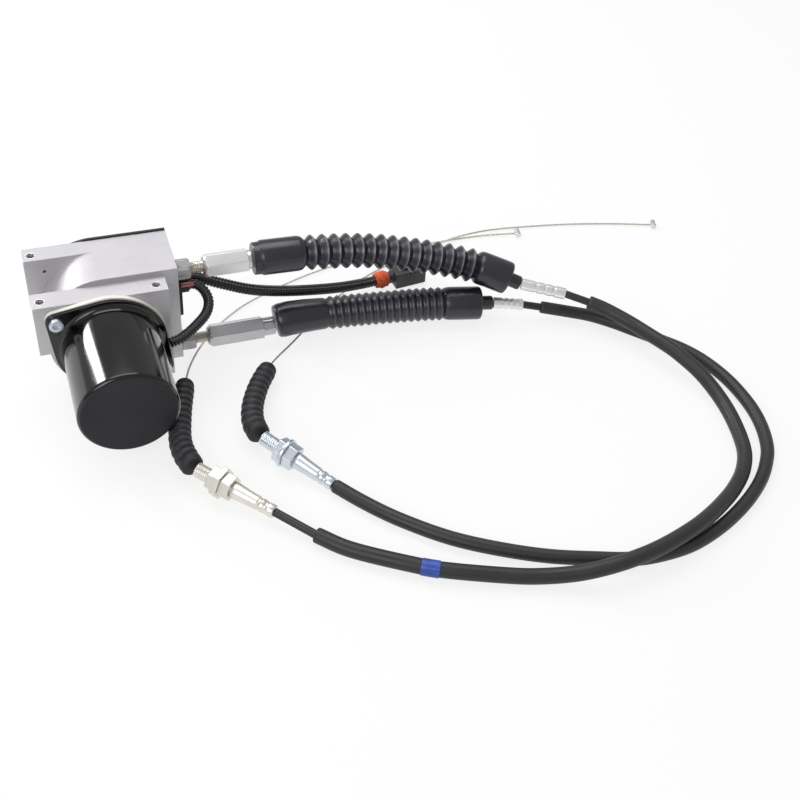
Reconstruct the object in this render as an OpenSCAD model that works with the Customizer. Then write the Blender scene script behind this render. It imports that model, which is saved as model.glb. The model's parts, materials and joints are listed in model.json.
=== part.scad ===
// Engine governor actuator: a motor and gear drive that pulls two sheathed throttle wires.
// Millimetres. X runs along the cable outlets, Y away from the motor, Z up.
// Z = 0 is the surface that it stands on.

/* [Housing] */
// Length of the housing over its ears
body_l = 95; // [90:1:110]
// Depth of the housing, motor face to cover face
body_w = 58; // [56:1:64]
// Height of the housing
body_h = 78; // [76:1:84]
// Distance of the motor and drum axis from the left ends of the ears
axis_inset = 45.5; // [42:0.5:47]
// Thickness of the motor-side mounting plate
front_plate_t = 15; // [14:0.5:17]
// Thickness of the cover-side mounting plate
back_plate_t = 13.5; // [10:0.5:15]
// Height of the ears
ear_h = 39; // [30:1:42]
// How far the motor-side plate lies below the top plane
front_drop = 4; // [2:0.5:5]
// How far the motor-side plate stops short of the cable face
front_short = 9; // [6:0.5:12]
// Wall round the drum chamber
wall = 3.5; // [3:0.25:4]
// Wall that carries the cable outlets
outlet_wall = 5.5; // [4.5:0.25:5.5]
// Wall between the motor and the drum chamber
motor_wall = 10; // [9:0.5:11]
// Radius of the tapped mounting holes
mount_hole_r = 2.5; // [2:0.25:3]
// Depth of the tapped mounting holes
mount_hole_depth = 14; // [10:1:18]
// Distance of the mounting holes from the ear ends
mount_hole_inset = 5.5; // [4.5:0.25:7]
// Distance of the motor-side mounting holes from the motor face
front_hole_inset = 6.5; // [5:0.25:6.5]
// Distance of the cover-side mounting hole from the cover face
back_hole_inset = 7.75; // [5:0.25:9]

/* [Back cover] */
// Thickness of the cover plate
cover_t = 2; // [1.5:0.25:4]
// How far the cover stands above the top plane
cover_proud = 1; // [0.5:0.25:2]

/* [Motor] */
// Outer radius of the motor can
can_r = 32; // [31:0.5:33]
// Length of the can from its flange
can_l = 69; // [67:0.5:74]
// Wall of the can
can_wall = 2; // [1.5:0.25:2.5]
// Thickness of the can's flange
flange_t = 2.5; // [2:0.25:3.5]
// Thickness of the spacer behind the flange
spacer_t = 3; // [2:0.25:4]
// Radius from the motor axis to the flange screws
lug_pitch_r = 41.5; // [40:0.25:43]
// Angle of the flange screws above the horizontal
lug_angle = 38; // [35:1:42]
// Radius of the rotor shaft
shaft_r = 4; // [3.5:0.1:4.2]

/* [Gear drive] */
// Gear module
gear_module = 0.8; // [0.75:0.01:0.8]
// Teeth of the motor and cluster pinions
pinion_teeth = 15; // [15:2:15]
// Teeth of the cluster wheel and the output gear
wheel_teeth = 45; // [45:2:45]
// Face width of the output gear
output_face = 7; // [6:0.25:7.5]
// Face width of the cluster wheel
wheel_face = 5.4; // [4:0.2:6]

/* [Cable drum] */
// Distance of each wire from the drum axis
wire_pitch_r = 29; // [28:0.25:31]
// Depth of the drum
drum_w = 15; // [14:0.5:16]
// Depth position of the upper wire
upper_wire_y = -3; // [-4:0.25:-2]
// Depth position of the lower wire
lower_wire_y = -8; // [-9:0.25:-7]

/* [Cable outlets] */
// Outer radius of the threaded stubs
stub_r = 4; // [3.5:0.25:4.25]
// Size across the flats of the lock nuts
locknut_af = 13; // [12:0.5:14]
// Size across the flats of the hex sleeves
sleeve_af = 14.5; // [13:0.5:15]
// Length of the upper hex sleeve
sleeve_l = 33; // [28:1:35]
// Length of the lower hex sleeve
lower_sleeve_l = 48; // [42:1:50]
// Length of the lock nuts
locknut_l = 9.5; // [6:0.5:10]
// Length of bare stub between lock nut and sleeve
stub_gap = 9; // [5:0.5:10]

/* [Bellows] */
// Length of the upper bellows along X
upper_bellows_l = 197; // [190:1:205]
// Length of the lower bellows along X
lower_bellows_l = 162; // [155:1:168]
// Outer radius of the upper bellows' ribs
upper_rib_r = 12.2; // [10:0.2:12.6]
// Depth of the upper bellows' ribs
upper_rib_depth = 3.8; // [1.5:0.1:4.5]
// Outer radius of the lower bellows' ribs
lower_rib_r = 12; // [10:0.2:12.4]
// Depth of the lower bellows' ribs
lower_rib_depth = 2.3; // [1.5:0.1:3]
// Radius of the bellows' small end cuffs
small_cuff_r = 12.2; // [10:0.1:12.4]
// Outer radius of the engine-end boots' ribs at the nut
boot_r = 7.8; // [6:0.2:8]

/* [Cables] */
// Diameter of the upper cable's sleeve
upper_cable_d = 10; // [8:0.25:10]
// Diameter of the lower cable's sleeve
lower_cable_d = 9; // [8:0.25:9]
// Diameter of the bare conduit
conduit_d = 5.5; // [4:0.25:6]
// Diameter of the inner wires
wire_d = 1.5; // [1:0.1:1.6]
// Outer radius of the crimped ferrules
ferrule_r = 4.2; // [3.5:0.1:5]
// Outer radius of the lower cable's washer
washer_r = 9.8; // [8:0.2:10]
// Size across the flats of the upper cable's large nut
large_nut_af = 19; // [16:0.5:19.5]
// Size across the flats of the engine-end nuts
end_nut_af = 15; // [13:0.5:16]
// Diameter of the motor loom
motor_loom_d = 7; // [6:0.25:7]
// Diameter of the harness loom
harness_d = 8; // [7:0.25:8.5]

/* [Hidden] */
$fn = 64;

// Clearances
fit = 0.05;          // radial room of a piece seated in a hole
run = 0.05;          // radial running clearance of a shaft
gap = 0.3;           // room between curved or soft pieces
eps = 0.1;           // overshoot of a cut past a face

// Housing
left_x = -body_l / 2;
right_x = body_l / 2;
front_y = -body_w / 2;
back_y = body_w / 2;
axis_x = left_x + axis_inset;
axis_z = body_h / 2;
nose_r = body_h / 2;
mid_y = front_y + front_plate_t;
back_plate_y = back_y - back_plate_t;
front_top = body_h - front_drop;
front_right = right_x - front_short;
chamber_y = front_y + motor_wall;
chamber_r = nose_r - wall;
chamber_right = right_x - outlet_wall;
step_wall = 2.5;      // wall behind the step, in front of the chamber
step_y = mid_y + step_wall;
upper_z = axis_z + wire_pitch_r;
lower_z = axis_z - wire_pitch_r;
witness_hole_r = 1.1;
witness_drop = 10;
witness_inset = 12.5;
witness_depth = 4;
right_hole_inset = 7;

// Cover screws
nose_screw_r = nose_r - wall / 2;
nose_screw_angle = 55;
nose_screw = [nose_screw_r * cos(nose_screw_angle), nose_screw_r * sin(nose_screw_angle)];
side_screw = [outlet_wall / 2, 14.5];
cover_screw_r = 1.2;
cover_screw_hole_r = 1.25;
cover_screw_l = 9;
cover_screw_head_r = 3;
cover_screw_head_t = 2;
cover_screw_socket_r = 1.4;
screw_tip_gap = 1;

// Shaft supports
bush_r = 7;
bush_l = 6.5;
boss_wall = 2.5;
shaft_room = 0.6;

// Motor
flange_y = front_y - spacer_t;
can_face_y = flange_y - flange_t;
can_end_y = flange_y - can_l;
can_end_t = 2.5;
can_edge_r = 3;
can_inner_r = can_r - can_wall;
flange_r = can_r + 4.5;
spacer_lip = 1;
spacer_reach = 4;
lug_r = 6.5;
lug_hole_r = 2.6;
lug_screw_r = 2.45;
screw_head_r = 4.6;
screw_head_t = 3.4;
screw_hole_l = 9;
screw_socket_r = 2.3;
screw_socket_l = 2;
can_boss_r = bush_r + boss_wall;
magnet_t = 8;
magnet_arc = 140;
magnet_y = can_end_y + 13;
magnet_l = 34;
air_gap = 1;
armature_r = can_inner_r - magnet_t - air_gap;
armature_l = 32;
armature_y = magnet_y + (magnet_l - armature_l) / 2;
slot_count = 12;
slot_w = 2.4;
slot_depth = 7;
commutator_r = 10;
commutator_l = 8;
commutator_y = armature_y + armature_l + 3;
brush_w = 6;
brush_h = 5;
brush_l = 9;
brush_wall = 1.6;
brush_gap = 0.2;
brush_floor = 1.4;
brush_box_h = commutator_l - 1;
brush_box_x = 2.5;
board_room = 2;
brush_board_t = 2.5;
brush_board_y = commutator_y + commutator_l;
shaft_start_y = can_end_y + can_end_t + 0.5;

// Gear drive: every tooth that meshes lies along +X at rest
pinion_pitch_r = gear_module * pinion_teeth / 2;
wheel_pitch_r = gear_module * wheel_teeth / 2;
gear_centre = pinion_pitch_r + wheel_pitch_r;
cluster_x = axis_x + gear_centre;
pressure_angle = 20;
backlash = 0.16;
drum_y = -13;
output_y = drum_y + drum_w;
cluster_y = output_y + 1;
cluster_neck_y = output_y + output_face + 0.8;
wheel_y = cluster_neck_y + 1;
cluster_hub_r = pinion_pitch_r - 1.6;
cluster_pin_r = 2.5;
pinion_l = wheel_face + 1;
pinion_y = wheel_y - 0.5;
boss_y = wheel_y + wheel_face + 2.5;
shaft_end_y = back_y - 1;

// Drum
drum_flange_r = wire_pitch_r + 2.4;
drum_room_r = drum_flange_r + 0.8;
groove_w = 2.4;
groove_floor_r = wire_pitch_r - wire_d / 2 - 0.25;
drum_web_r = 22;
drum_web_depth = 4;
drum_hub_r = 11;
drum_bush_l = 5;
track_t = 1.4;
track_inner_r = 12;
track_outer_r = 26;
wiper_r = 18;
wiper_w = 8;
wiper_t = 0.8;

// Cable outlets, along +X from the cable face
sleeve_x = right_x + locknut_l + stub_gap;
sleeve_end_x = sleeve_x + sleeve_l;
lower_sleeve_end_x = sleeve_x + lower_sleeve_l;
stub_overlap = 7;
sleeve_cap_l = 2.5;
lower_cap_l = 8.5;
sleeve_cap_r = 6.5;
sleeve_chamfer_l = 3;
sleeve_chamfer_r = 5.8;
nut_chamfer = 1.2;

// Loom plate on the cable face
plate_t = 3;
plate_y = 2;
plate_w = 20;
plate_h = 29;
plate_gap = 1;
plate_top = upper_z - locknut_af / 2 / cos(30) - plate_gap;
plate_z = plate_top - plate_h / 2;
loom_exit = [right_x + plate_t, plate_y - 5, plate_top - 5.5];
harness_exit = [right_x + plate_t, plate_y + 5, plate_top - 7.5];
spigot_l = 5;
spigot_t = 1.2;

// Spines of the bellows: a few points that a smooth curve passes through
upper_spine = [
    [sleeve_end_x, upper_wire_y, upper_z], [sleeve_end_x + 0.18 * upper_bellows_l, -4, 67.5],
    [sleeve_end_x + 0.43 * upper_bellows_l, -2, 59.2], [sleeve_end_x + 0.68 * upper_bellows_l, -5, 46.2],
    [sleeve_end_x + 0.86 * upper_bellows_l, -13, 36.4], [sleeve_end_x + upper_bellows_l, -27, 27.3]
];
lower_spine = [
    [lower_sleeve_end_x, lower_wire_y, lower_z + 2.6],
    [lower_sleeve_end_x + 0.085 * lower_bellows_l, -8, 14.2],
    [lower_sleeve_end_x + 0.25 * lower_bellows_l, -9.5, 14.3],
    [lower_sleeve_end_x + 0.48 * lower_bellows_l, -12.5, 13.8],
    [lower_sleeve_end_x + 0.735 * lower_bellows_l, -17.5, 13.2],
    [lower_sleeve_end_x + lower_bellows_l, -26, 12.7]
];
upper_boot_spine = [
    [30.2, -129.9, 12], [27.1, -116.2, 12], [27.4, -102.2, 11.5], [32.1, -81.4, 10.6],
    [37.6, -62.6, 9.8], [41.8, -49.2, 8.5]
];
lower_boot_spine = [
    [76.5, -114, 13], [75.6, -100.8, 12.5], [79.4, -84.8, 11.6], [88.4, -65.8, 10.2],
    [99.9, -48.3, 8.5]
];

// Routes of the cords, chosen by hand
upper_route = [
    [340.8, -51.3, 20.5], [350.1, -58.7, 18.6], [358.2, -67.8, 17], [365.6, -78.2, 15.8],
    [371.8, -89.5, 15.2], [378, -101.3, 14.9], [383.7, -112.9, 14], [392, -132.5, 10.5],
    [396, -155.1, 6.8], [394.5, -178, 5.3], [387.5, -203.5, 5.3], [376.5, -220.5, 5.6],
    [360.8, -234.6, 7.2], [342.5, -246.9, 10.2], [323.2, -257.5, 13.1], [306, -264.5, 14.7],
    [290.6, -269.2, 15.1], [276.5, -272.2, 15.1], [259.5, -273.9, 14.4], [244, -273, 12],
    [229.5, -270, 8.7], [212.6, -264.8, 5.9], [194.1, -258.8, 5.3], [158.2, -244.7, 5.6],
    [138.8, -234.4, 5.6], [107.5, -213.8, 5.3], [90.4, -197.2, 5.4]
];
lower_route = [
    [310.9, -35.4, 9], [328.5, -42.2, 7], [345.1, -49.8, 5.6], [358.7, -60.1, 4.9],
    [370.9, -72.5, 4.7], [385, -87.5, 4.7], [398, -102.7, 4.7], [407, -119.5, 4.7],
    [413, -140.7, 4.7], [414.7, -164.4, 4.7], [412.1, -185, 4.7], [405.1, -204.8, 4.7],
    [395.9, -218.5, 4.7], [384, -231, 4.7], [368.2, -242.9, 4.7], [350.3, -253.2, 4.7],
    [333.6, -260.6, 4.7], [316.4, -266.1, 4.7], [301.2, -268.4, 4.7], [281.6, -268.4, 4.7],
    [266.1, -265.6, 4.7], [251.3, -261, 4.7], [222.5, -251, 4.7], [194.5, -237.2, 4.7],
    [168.2, -220.6, 4.7], [143.8, -199.1, 4.7], [126.9, -180.1, 4.7], [112.9, -161.6, 4.9]
];
upper_wire_route = [
    [42.4, -47.7, 8.3], [47, -34, 5.5], [54, -19, 2.5], [61.5, -7, 1.2], [72, 6, 0.9], [88, 20, 0.9],
    [107, 32.5, 0.9], [139, 46.5, 0.9], [172, 57, 0.9], [218, 65.5, 0.9], [266, 68, 0.9],
    [304, 68, 0.9], [334, 63.5, 1.6]
];
lower_wire_route = [
    [100.7, -47, 8.2], [109, -36, 4.6], [123, -21.5, 1.5], [137, -8, 0.9], [152, 7, 0.9], [192, 36, 0.9],
    [231, 54, 0.9], [266, 65, 1.6], [292, 69.7, 2.8], [323, 72.5, 1.4], [375, 67, 0.9], [416, 58.5, 0.9],
    [450, 48, 1.6]
];
motor_loom_route = [
    [56.2, -3, 54], [60.5, -3.3, 53.8], [65, -8, 51.5], [66.5, -16, 48], [62.5, -25, 45], [53, -33.5, 42.5],
    [43, -40.5, 41], [35, -43, 40.5]
];
harness_route = [
    [56.2, 7, 52], [63, 6.9, 51.5], [80, 4, 45], [99, 3, 37], [120, 6, 29], [145, 11, 21], [170, 18, 13],
    [190, 24, 8], [204, 26, 7.2]
];
connector_end = [240, 29.5, 7.9];
marker_span = 23;
upper_ferrule_end = [326, -40.8, 23];
lower_ferrule_end = [297.5, -31.3, 10.8];
cord_sides = 8;
upper_conduit_share = 0.33;
end_fitting_stem_r = 4.6;
stem_short = 3.2;
ferrule_room = 0.8;
band_t = 0.4;
band_l = 13;
nipple_r = 2.2;
nipple_l = 7;

// Vector helpers

function unit(v) = v / norm(v);
function last(list) = list[len(list) - 1];
function between(p, q, share) = p + (q - p) * share;

// Point on the smooth curve through the points of a list, at span i and share t
function curve_point(list, i, t) =
    let (a = i > 0 ? list[i - 1] : 2 * list[0] - list[1], b = list[i], c = list[i + 1],
         d = i + 2 < len(list) ? list[i + 2] : 2 * last(list) - list[len(list) - 2])
    0.5 * (2 * b + (c - a) * t + (2 * a - 5 * b + 4 * c - d) * t * t + (3 * b - a - 3 * c + d) * t * t * t);

// Point at a share of the way through the spans of the curve
function along_curve(list, share) =
    let (spans = len(list) - 1, s = min(max(share, 0), 1) * spans, i = min(floor(s), spans - 1))
    curve_point(list, i, s - i);

// Rows of share of the length and point, at even steps through the spans
curve_steps = 60;
function length_table(list) =
    let (points = [for (k = [0 : curve_steps]) along_curve(list, k / curve_steps)],
         run_up = [for (i = 0, s = 0; i <= curve_steps;
                        s = s + (i < curve_steps ? norm(points[i + 1] - points[i]) : 0), i = i + 1) s])
    [for (i = [0 : curve_steps]) [run_up[i] / last(run_up), points[i]]];

// Point at a share of the length
function at_length(table, share) =
    [for (axis = [0 : 2]) lookup(share, [for (row = table) [row[0], row[1][axis]]])];

// Ring of points about p, square to direction t
function ring(p, t, r, sides) =
    let (side = unit(cross(t, [0, 0, 1])), up = cross(side, t))
    [for (k = [0 : sides - 1]) p + r * (cos(360 * k / sides) * side + sin(360 * k / sides) * up)];

// Direction of a point list at index i
function heading(list, i) = unit(list[min(i + 1, len(list) - 1)] - list[max(i - 1, 0)]);

// Shape helpers

// Closed skin over a row of rings that all have the same number of sides
module skin(rings) {
    sides = len(rings[0]);
    rows = len(rings);
    walls = [for (i = [0 : rows - 2], k = [0 : sides - 1])
        let (n = (k + 1) % sides, below = i * sides, above = below + sides)
        each [[below + n, above + n, above + k], [below + n, above + k, below + k]]];
    first_cap = [for (k = [sides - 1 : -1 : 0]) k];
    last_cap = [for (k = [0 : sides - 1]) (rows - 1) * sides + k];
    polyhedron([for (r = rings) each r], concat([first_cap], walls, [last_cap]), convexity = 6);
}

// Plain tube along a route
module cord(route, d) {
    skin([for (i = [0 : len(route) - 1]) ring(route[i], heading(route, i), d / 2, cord_sides)]);
}

// Ribbed rubber sleeve along a spine. stations holds a share of the length and a radius for each ring
module ribbed(spine, stations, sides) {
    step = 0.012;
    table = length_table(spine);
    skin([for (s = stations)
        ring(at_length(table, s[0]),
             unit(at_length(table, min(s[0] + step, 1)) - at_length(table, max(s[0] - step, 0))),
             s[1], sides)]);
}

// Rings of a row of round ribs between two shares, with the outer radius running from r0 to r1
function rib_stations(from, to, count, r0, r1, depth) =
    [for (i = [0 : count * 4 - 1])
        let (t = i / (count * 4), r = r0 + (r1 - r0) * t)
        [from + (to - from) * t, r - depth * (0.5 + 0.5 * cos(90 * i))]];

// Local Z along the line from p to q, starting at p
module aim(p, q) {
    v = q - p;
    translate(p) rotate([0, 90 - atan2(v[2], norm([v[0], v[1]])), atan2(v[1], v[0])]) children();
}

// Local Z along +Y on the motor axis, starting at depth y
module on_axis(y) {
    translate([axis_x, y, axis_z]) rotate([-90, 0, 0]) children();
}

// The same on the cluster gear's axis
module on_cluster(y) {
    translate([cluster_x, y, axis_z]) rotate([-90, 0, 0]) children();
}

// Local Z along +X, starting at x
module along_x(x, y, z) {
    translate([x, y, z]) rotate([0, 90, 0]) children();
}

// Outline drawn in X and Z, from depth y0 to y1
module upright(y0, y1) {
    translate([0, y1, 0]) rotate([90, 0, 0]) linear_extrude(y1 - y0) children();
}

// D outline about the motor axis: round on the left, square on the right
module d_outline(r, right) {
    translate([axis_x, axis_z]) circle(r);
    translate([axis_x, axis_z - r]) square([right - axis_x, 2 * r]);
}

module tube(outer, inner, h) {
    difference() {
        cylinder(r = outer, h = h);
        translate([0, 0, -eps]) cylinder(r = inner, h = h + 2 * eps);
    }
}

module hexagon(af, h) {
    cylinder(r = af / 2 / cos(30), h = h, $fn = 6);
}

// Involute gear

function involute(angle) = tan(angle) * 180 / PI - angle;
function tooth_half_angle(r, teeth) =
    let (pitch_r = gear_module * teeth / 2, base_r = pitch_r * cos(pressure_angle))
    90 / teeth - backlash / 4 / pitch_r * 180 / PI + involute(pressure_angle)
        - (r > base_r ? involute(acos(base_r / r)) : 0);
function polar(r, angle) = [r * cos(angle), r * sin(angle)];

module gear_outline(teeth) {
    pitch_r = gear_module * teeth / 2;
    tip_r = pitch_r + 0.95 * gear_module;
    root_r = pitch_r - 1.25 * gear_module;
    foot_r = max(root_r + 0.05, pitch_r * cos(pressure_angle));
    steps = 4;
    flank = [for (i = [0 : steps]) foot_r + (tip_r - foot_r) * i / steps];
    polygon([for (k = [0 : teeth - 1]) let (middle = 360 * k / teeth) each concat(
        [polar(root_r, middle - tooth_half_angle(foot_r, teeth))],
        [for (r = flank) polar(r, middle - tooth_half_angle(r, teeth))],
        [for (i = [steps : -1 : 0]) polar(flank[i], middle + tooth_half_angle(flank[i], teeth))],
        [polar(root_r, middle + tooth_half_angle(foot_r, teeth))])]);
}

module gear(teeth, face, bore_r) {
    difference() {
        linear_extrude(face) gear_outline(teeth);
        translate([0, 0, -eps]) cylinder(r = bore_r, h = face + 2 * eps);
    }
}

// Housing and cover

mount_holes = [
    [left_x + mount_hole_inset, back_y - back_hole_inset, body_h],
    [left_x + mount_hole_inset, front_y + front_hole_inset, front_top],
    [front_right - right_hole_inset, front_y + front_hole_inset, front_top]
];
cover_screw_places = [
    [axis_x - nose_screw[0], axis_z + nose_screw[1]], [axis_x - nose_screw[0], axis_z - nose_screw[1]],
    [right_x - side_screw[0], body_h - side_screw[1]], [right_x - side_screw[0], side_screw[1]]
];

module lug_places() {
    for (side = [0, 180])
        translate([axis_x, axis_z]) rotate(180 - lug_angle + side) translate([lug_pitch_r, 0]) children();
}

module housing_blank() {
    upright(mid_y, back_y) d_outline(nose_r, right_x);
    upright(back_plate_y, back_y)
        translate([left_x, body_h - ear_h]) square([axis_inset, ear_h]);
    upright(front_y, mid_y) {
        intersection() {
            d_outline(nose_r, front_right);
            translate([left_x, 0]) square([body_l, front_top]);
        }
        translate([left_x, front_top - ear_h]) square([axis_inset, ear_h]);
    }
}

module housing() {
    color("gainsboro") difference() {
        housing_blank();
        on_axis(chamber_y) cylinder(r = drum_room_r, h = step_y - chamber_y + eps);
        upright(step_y, back_y + eps) d_outline(chamber_r, chamber_right);
        on_axis(front_y - eps) cylinder(r = bush_r + fit, h = motor_wall + 2 * eps);
        for (place = mount_holes)
            translate([place[0], place[1], place[2] - mount_hole_depth])
                cylinder(r = mount_hole_r, h = mount_hole_depth + eps);
        for (place = [[upper_wire_y, upper_z], [lower_wire_y, lower_z]])
            along_x(chamber_right - eps, place[0], place[1])
                cylinder(r = stub_r + fit, h = outlet_wall + 2 * eps);
        upright(front_y - eps, front_y + screw_hole_l) lug_places() circle(lug_hole_r);
        for (place = cover_screw_places)
            translate([place[0], back_y - cover_screw_l, place[1]]) rotate([-90, 0, 0])
                cylinder(r = cover_screw_hole_r, h = cover_screw_l + eps);
        translate([left_x + witness_inset, back_plate_y - eps, body_h - witness_drop]) rotate([-90, 0, 0])
            cylinder(r = witness_hole_r, h = witness_depth);
    }
}

module back_cover() {
    floor_gap = 0.5;
    color("#1b1c1f") difference() {
        union() {
            upright(back_y, back_y + cover_t) difference() {
                d_outline(nose_r + cover_proud, right_x);
                translate([left_x - body_l, -body_h]) square([3 * body_l, body_h + floor_gap]);
            }
            on_axis(boss_y) cylinder(r = bush_r + boss_wall, h = back_y - boss_y + eps);
            on_cluster(boss_y) cylinder(r = cluster_pin_r + boss_wall, h = back_y - boss_y + eps);
        }
        on_axis(boss_y - eps) cylinder(r = bush_r + fit, h = bush_l + eps);
        on_axis(boss_y) cylinder(r = shaft_r + shaft_room, h = back_y - boss_y + shaft_room);
        on_cluster(boss_y - eps) cylinder(r = cluster_pin_r + fit, h = back_y - boss_y + eps);
        for (place = cover_screw_places)
            translate([place[0], back_y - eps, place[1]]) rotate([-90, 0, 0])
                cylinder(r = cover_screw_hole_r + fit, h = cover_t + 2 * eps);
    }
}

module cover_screws() {
    shank_in = cover_screw_l - screw_tip_gap;
    color("silver") for (place = cover_screw_places)
        translate([place[0], back_y - shank_in, place[1]]) rotate([-90, 0, 0]) difference() {
            union() {
                cylinder(r = cover_screw_r, h = cover_t + shank_in);
                translate([0, 0, cover_t + shank_in])
                    cylinder(r = cover_screw_head_r, h = cover_screw_head_t);
            }
            translate([0, 0, cover_t + shank_in + cover_screw_head_t / 2])
                cylinder(r = cover_screw_socket_r, h = cover_screw_head_t, $fn = 6);
        }
}

// Motor

module flange_outline(r, bore_r) {
    difference() {
        hull() {
            translate([axis_x, axis_z]) circle(r);
            lug_places() circle(lug_r);
        }
        translate([axis_x, axis_z]) circle(bore_r);
        lug_places() circle(lug_hole_r);
    }
}

module motor_spacer() {
    color("#e9e3d0") upright(flange_y, front_y)
        flange_outline(flange_r + spacer_lip, can_inner_r - spacer_reach);
}

module motor_can() {
    can_h = can_face_y - can_end_y;
    color("#101113") {
        upright(can_face_y, flange_y) flange_outline(flange_r, can_inner_r);
        on_axis(can_end_y) rotate_extrude() difference() {
            union() {
                translate([0, can_edge_r]) square([can_r, can_h - can_edge_r + eps]);
                square([can_r - can_edge_r, can_edge_r + eps]);
                translate([can_r - can_edge_r, can_edge_r]) circle(can_edge_r);
            }
            translate([-can_r, -eps]) square([can_r, can_h + can_r]);
            difference() {
                translate([0, can_end_t]) square([can_inner_r, can_h]);
                translate([bush_r + fit, 0]) square([can_boss_r - bush_r - fit, can_end_t + bush_l]);
            }
        }
    }
}

module motor_screws() {
    shank_l = flange_t + spacer_t + screw_hole_l - screw_tip_gap;
    color("silver") for (side = [0, 180]) {
        angle = 180 - lug_angle + side;
        translate([axis_x + lug_pitch_r * cos(angle), can_face_y - screw_head_t,
                   axis_z + lug_pitch_r * sin(angle)]) rotate([-90, 0, 0]) difference() {
            union() {
                cylinder(r = screw_head_r, h = screw_head_t);
                cylinder(r = lug_screw_r, h = screw_head_t + shank_l);
            }
            translate([0, 0, -eps]) cylinder(r = screw_socket_r, h = screw_socket_l, $fn = 6);
        }
    }
}

module magnets() {
    half_gap = (180 - magnet_arc) / 2;
    color("#3a3a3c") on_axis(magnet_y) for (side = [0, 180])
        rotate(side + half_gap) rotate_extrude(angle = magnet_arc)
            translate([can_inner_r - magnet_t, 0]) square([magnet_t - fit, magnet_l]);
}

module brush_holder() {
    color("#6b5a3c") on_axis(brush_board_y) {
        tube(can_inner_r - fit, commutator_r + board_room, brush_board_t);
        for (side = [0, 180]) rotate(side) difference() {
            translate([commutator_r + brush_box_x, -brush_w / 2 - brush_wall, -brush_box_h])
                cube([brush_l, brush_w + 2 * brush_wall, brush_box_h + eps]);
            translate([commutator_r, -brush_w / 2 - fit, -brush_box_h + brush_floor])
                cube([brush_l + brush_box_x, brush_w + 2 * fit, brush_h + 2 * fit]);
        }
    }
}

module brushes() {
    color("#2b2b2d") on_axis(brush_board_y) for (side = [0, 180]) rotate(side)
        translate([commutator_r + brush_gap, -brush_w / 2, -brush_box_h + brush_floor + fit])
            cube([brush_l, brush_w, brush_h]);
}

module plain_bush(l) {
    tube(bush_r, shaft_r + run, l);
}

module rear_bush() {
    color("darkgoldenrod") on_axis(can_end_y + can_end_t) plain_bush(bush_l);
}

module front_bush() {
    color("darkgoldenrod") on_axis(front_y) plain_bush(motor_wall);
}

module end_bush() {
    color("darkgoldenrod") on_axis(boss_y) plain_bush(bush_l);
}

module rotor_shaft() {
    color("lightsteelblue") on_axis(shaft_start_y) cylinder(r = shaft_r, h = shaft_end_y - shaft_start_y);
}

module armature() {
    color("#8a4a2a") on_axis(armature_y) difference() {
        cylinder(r = armature_r, h = armature_l);
        translate([0, 0, -eps]) cylinder(r = shaft_r + fit, h = armature_l + 2 * eps);
        for (k = [0 : slot_count - 1]) rotate(360 * k / slot_count)
            translate([armature_r - slot_depth, -slot_w / 2, -eps])
                cube([slot_depth + 1, slot_w, armature_l + 2 * eps]);
    }
}

module commutator() {
    color("peru") on_axis(commutator_y) tube(commutator_r, shaft_r + fit, commutator_l);
}

// Gear drive and drum

module motor_pinion() {
    color("slategray") on_axis(pinion_y) gear(pinion_teeth, pinion_l, shaft_r + fit);
}

module cluster_gear() {
    color("slategray") on_cluster(cluster_y) difference() {
        union() {
            linear_extrude(cluster_neck_y - cluster_y) gear_outline(pinion_teeth);
            cylinder(r = cluster_hub_r, h = wheel_y - cluster_y + eps);
            translate([0, 0, wheel_y - cluster_y]) linear_extrude(wheel_face) gear_outline(wheel_teeth);
        }
        translate([0, 0, -eps])
            cylinder(r = cluster_pin_r + run, h = wheel_y + wheel_face - cluster_y + 2 * eps);
    }
}

module cluster_pin() {
    color("silver") on_cluster(cluster_y) cylinder(r = cluster_pin_r, h = back_y - cluster_y);
}

module drum() {
    color("#9a9da1") on_axis(drum_y) difference() {
        cylinder(r = drum_flange_r, h = drum_w);
        translate([0, 0, -eps]) cylinder(r = bush_r + fit, h = drum_w + 2 * eps);
        for (wire_y = [upper_wire_y, lower_wire_y])
            translate([0, 0, wire_y - drum_y - groove_w / 2])
                tube(drum_flange_r + 1, groove_floor_r, groove_w);
        translate([0, 0, -eps]) tube(drum_web_r, drum_hub_r, drum_web_depth + eps);
    }
}

module output_gear() {
    color("slategray") on_axis(output_y) gear(wheel_teeth, output_face, bush_r + fit);
}

module drum_bushes() {
    color("darkgoldenrod") {
        on_axis(drum_y) plain_bush(drum_bush_l);
        on_axis(output_y + output_face - drum_bush_l) plain_bush(drum_bush_l);
    }
}

module sensor_track() {
    color("#2f6b45") on_axis(chamber_y) tube(track_outer_r, track_inner_r, track_t);
}

module sensor_wiper() {
    reach = drum_y - chamber_y - track_t - gap;
    color("goldenrod") on_axis(drum_y - reach) rotate(180) {
        translate([track_outer_r - wiper_w / 2, -wiper_w / 2, reach - wiper_t])
            cube([wiper_w / 2, wiper_w, wiper_t]);
        translate([wiper_r, -wiper_w / 4, reach - wiper_t])
            cube([track_outer_r - wiper_r - wiper_w / 2 + eps, wiper_w / 2, wiper_t]);
        translate([wiper_r, -wiper_w / 4, 0]) cube([wiper_t, wiper_w / 2, reach]);
    }
}

// Cable outlets

module stub(y, z) {
    color("#d8d2b8") along_x(right_x - outlet_wall, y, z)
        tube(stub_r, wire_d / 2 + gap, outlet_wall + locknut_l + stub_gap + stub_overlap);
}

module upper_stub() {
    stub(upper_wire_y, upper_z);
}

module lower_stub() {
    stub(lower_wire_y, lower_z);
}

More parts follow.
